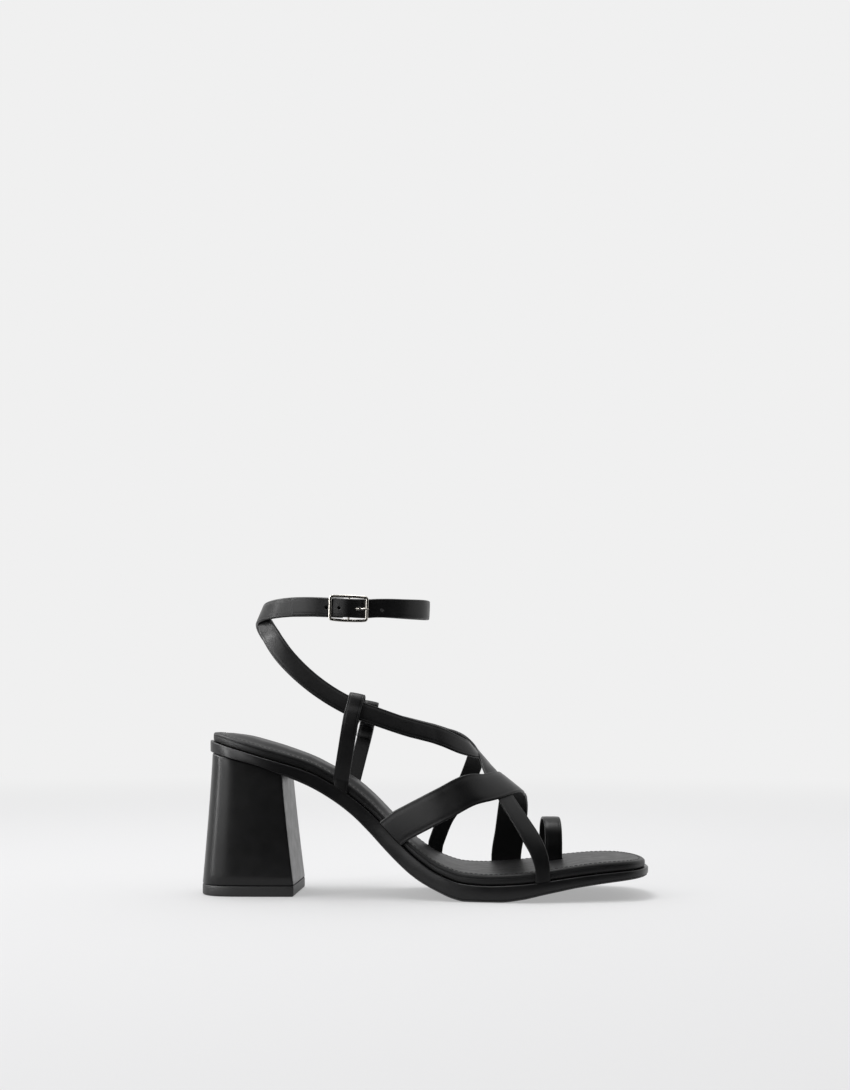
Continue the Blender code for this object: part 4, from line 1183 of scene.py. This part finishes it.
rim_line = [(x, y, z + 0.12 * MM) for x, y, z in insole_levels[STITCH_RING]]
insole_seam = grow("insole_stitches", STITCHES, seam_curve([rim_line], closed=True),
                   {"Pitch": INSOLE_PITCH, "Stitch length": 2.0 * MM, "Thread": 0.42 * MM, "Finish": THREAD})
keeper_lines = keeper_rows(lateral_seam) + keeper_rows(medial_seam)
keeper_seam = grow("keeper_stitches", STITCHES, seam_curve(keeper_lines),
                   {"Pitch": 1.35 * MM, "Stitch length": 1.1 * MM, "Thread": 0.36 * MM, "Finish": THREAD})

# %% [markdown]
# The bottom sole has fine moulded ribs across the tread, so that it grips. Each needs the width of the
# sole where it lies and the slope of the underside. Those two numbers are stored on a point per rib,
# and a second tree turns the points into bars. The bars rise from the underside into the sole, so the
# shoe still stands on the same plane.

# %% Ribs under the tread
RIB_PITCH, RIB_WIDTH, RIB_HEIGHT = 2.6 * MM, 1.1 * MM, 0.5 * MM
RIB_MARGIN = 6.5 * MM
RIB_START, RIB_END = 72 * MM, 205 * MM


def rib_tree():
    tree, given = new_tree("Ribs", "Points", ("Width", "Height"))
    reach = add(tree, "GeometryNodeInputNamedAttribute", data_type="FLOAT", Name="reach")
    slope = add(tree, "GeometryNodeInputNamedAttribute", data_type="FLOAT", Name="slope")
    scale = add(tree, "ShaderNodeCombineXYZ", given["Width"], reach, given["Height"])
    turn = add(tree, "ShaderNodeCombineXYZ", Y=slope)
    bar = add(tree, "GeometryNodeMeshCube", Size=(1.0, 1.0, 1.0))
    placed = add(tree, "GeometryNodeInstanceOnPoints", given["Points"], Instance=bar, Rotation=turn,
                 Scale=scale)
    close_tree(tree, placed, given["Finish"], smooth=False)
    return tree


def rib_points():
    points, reach, slope = [], [], []
    for x in np.arange(RIB_START, RIB_END, RIB_PITCH):
        low, high = edge(x, -1) + RIB_MARGIN, edge(x, 1) - RIB_MARGIN
        points.append((x, (low + high) / 2, under(x) + RIB_HEIGHT / 2))
        reach.append(high - low)
        slope.append(-atan((under(x + MM) - under(x - MM)) / (2 * MM)))
    mesh = bpy.data.meshes.new("rib_points")
    mesh.from_pydata(points, [], [])
    for name, values in (("reach", reach), ("slope", slope)):
        mesh.attributes.new(name, "FLOAT", "POINT").data.foreach_set("value", values)
    return link_object("rib_points", mesh)


ribs_piece = grow("tread_ribs", rib_tree(), rib_points(),
                  {"Width": RIB_WIDTH, "Height": RIB_HEIGHT, "Finish": RUBBER})

# %% [markdown]
# Last, each new piece hides the solid of the frame that it stands for, where there is one, and moves
# with the shoe's one body.

# %% Hand the pieces to the frame
PIECES = [(platform_piece, "sole_cover", ["outsole"]), (bottom_piece, "top_piece", []),
          (insole_piece, "sole_cover", ["insole"]), (heel_piece, "sole_cover", ["heel_block"]),
          (lift_piece, "top_piece", ["heel_top_piece"]), (strap_one, "upper", ["upper_straps"]),
          (strap_two, "upper", []), (wide_strap, "upper", []),
          (keeper_lateral, "upper", ["side_loop_lateral"]), (keeper_medial, "upper", ["side_loop_medial"]),
          (toe_band, "upper", ["toe_loop"]), (buckle_piece, "nickel", ["buckle_frame"]),
          (bar_piece, "nickel", []), (prong_piece, "nickel", ["buckle_prong"]),
          (insole_seam, "upper", []), (keeper_seam, "upper", []), (ribs_piece, "top_piece", [])]

for piece, slot, nodes in PIECES:
    if nodes:
        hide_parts(*nodes)
    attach(piece, "root")

triangles = sum(len(f.vertices) - 2 for piece, _, _ in PIECES for f in piece.data.polygons)
print(len(PIECES), "pieces,", triangles, "triangles")
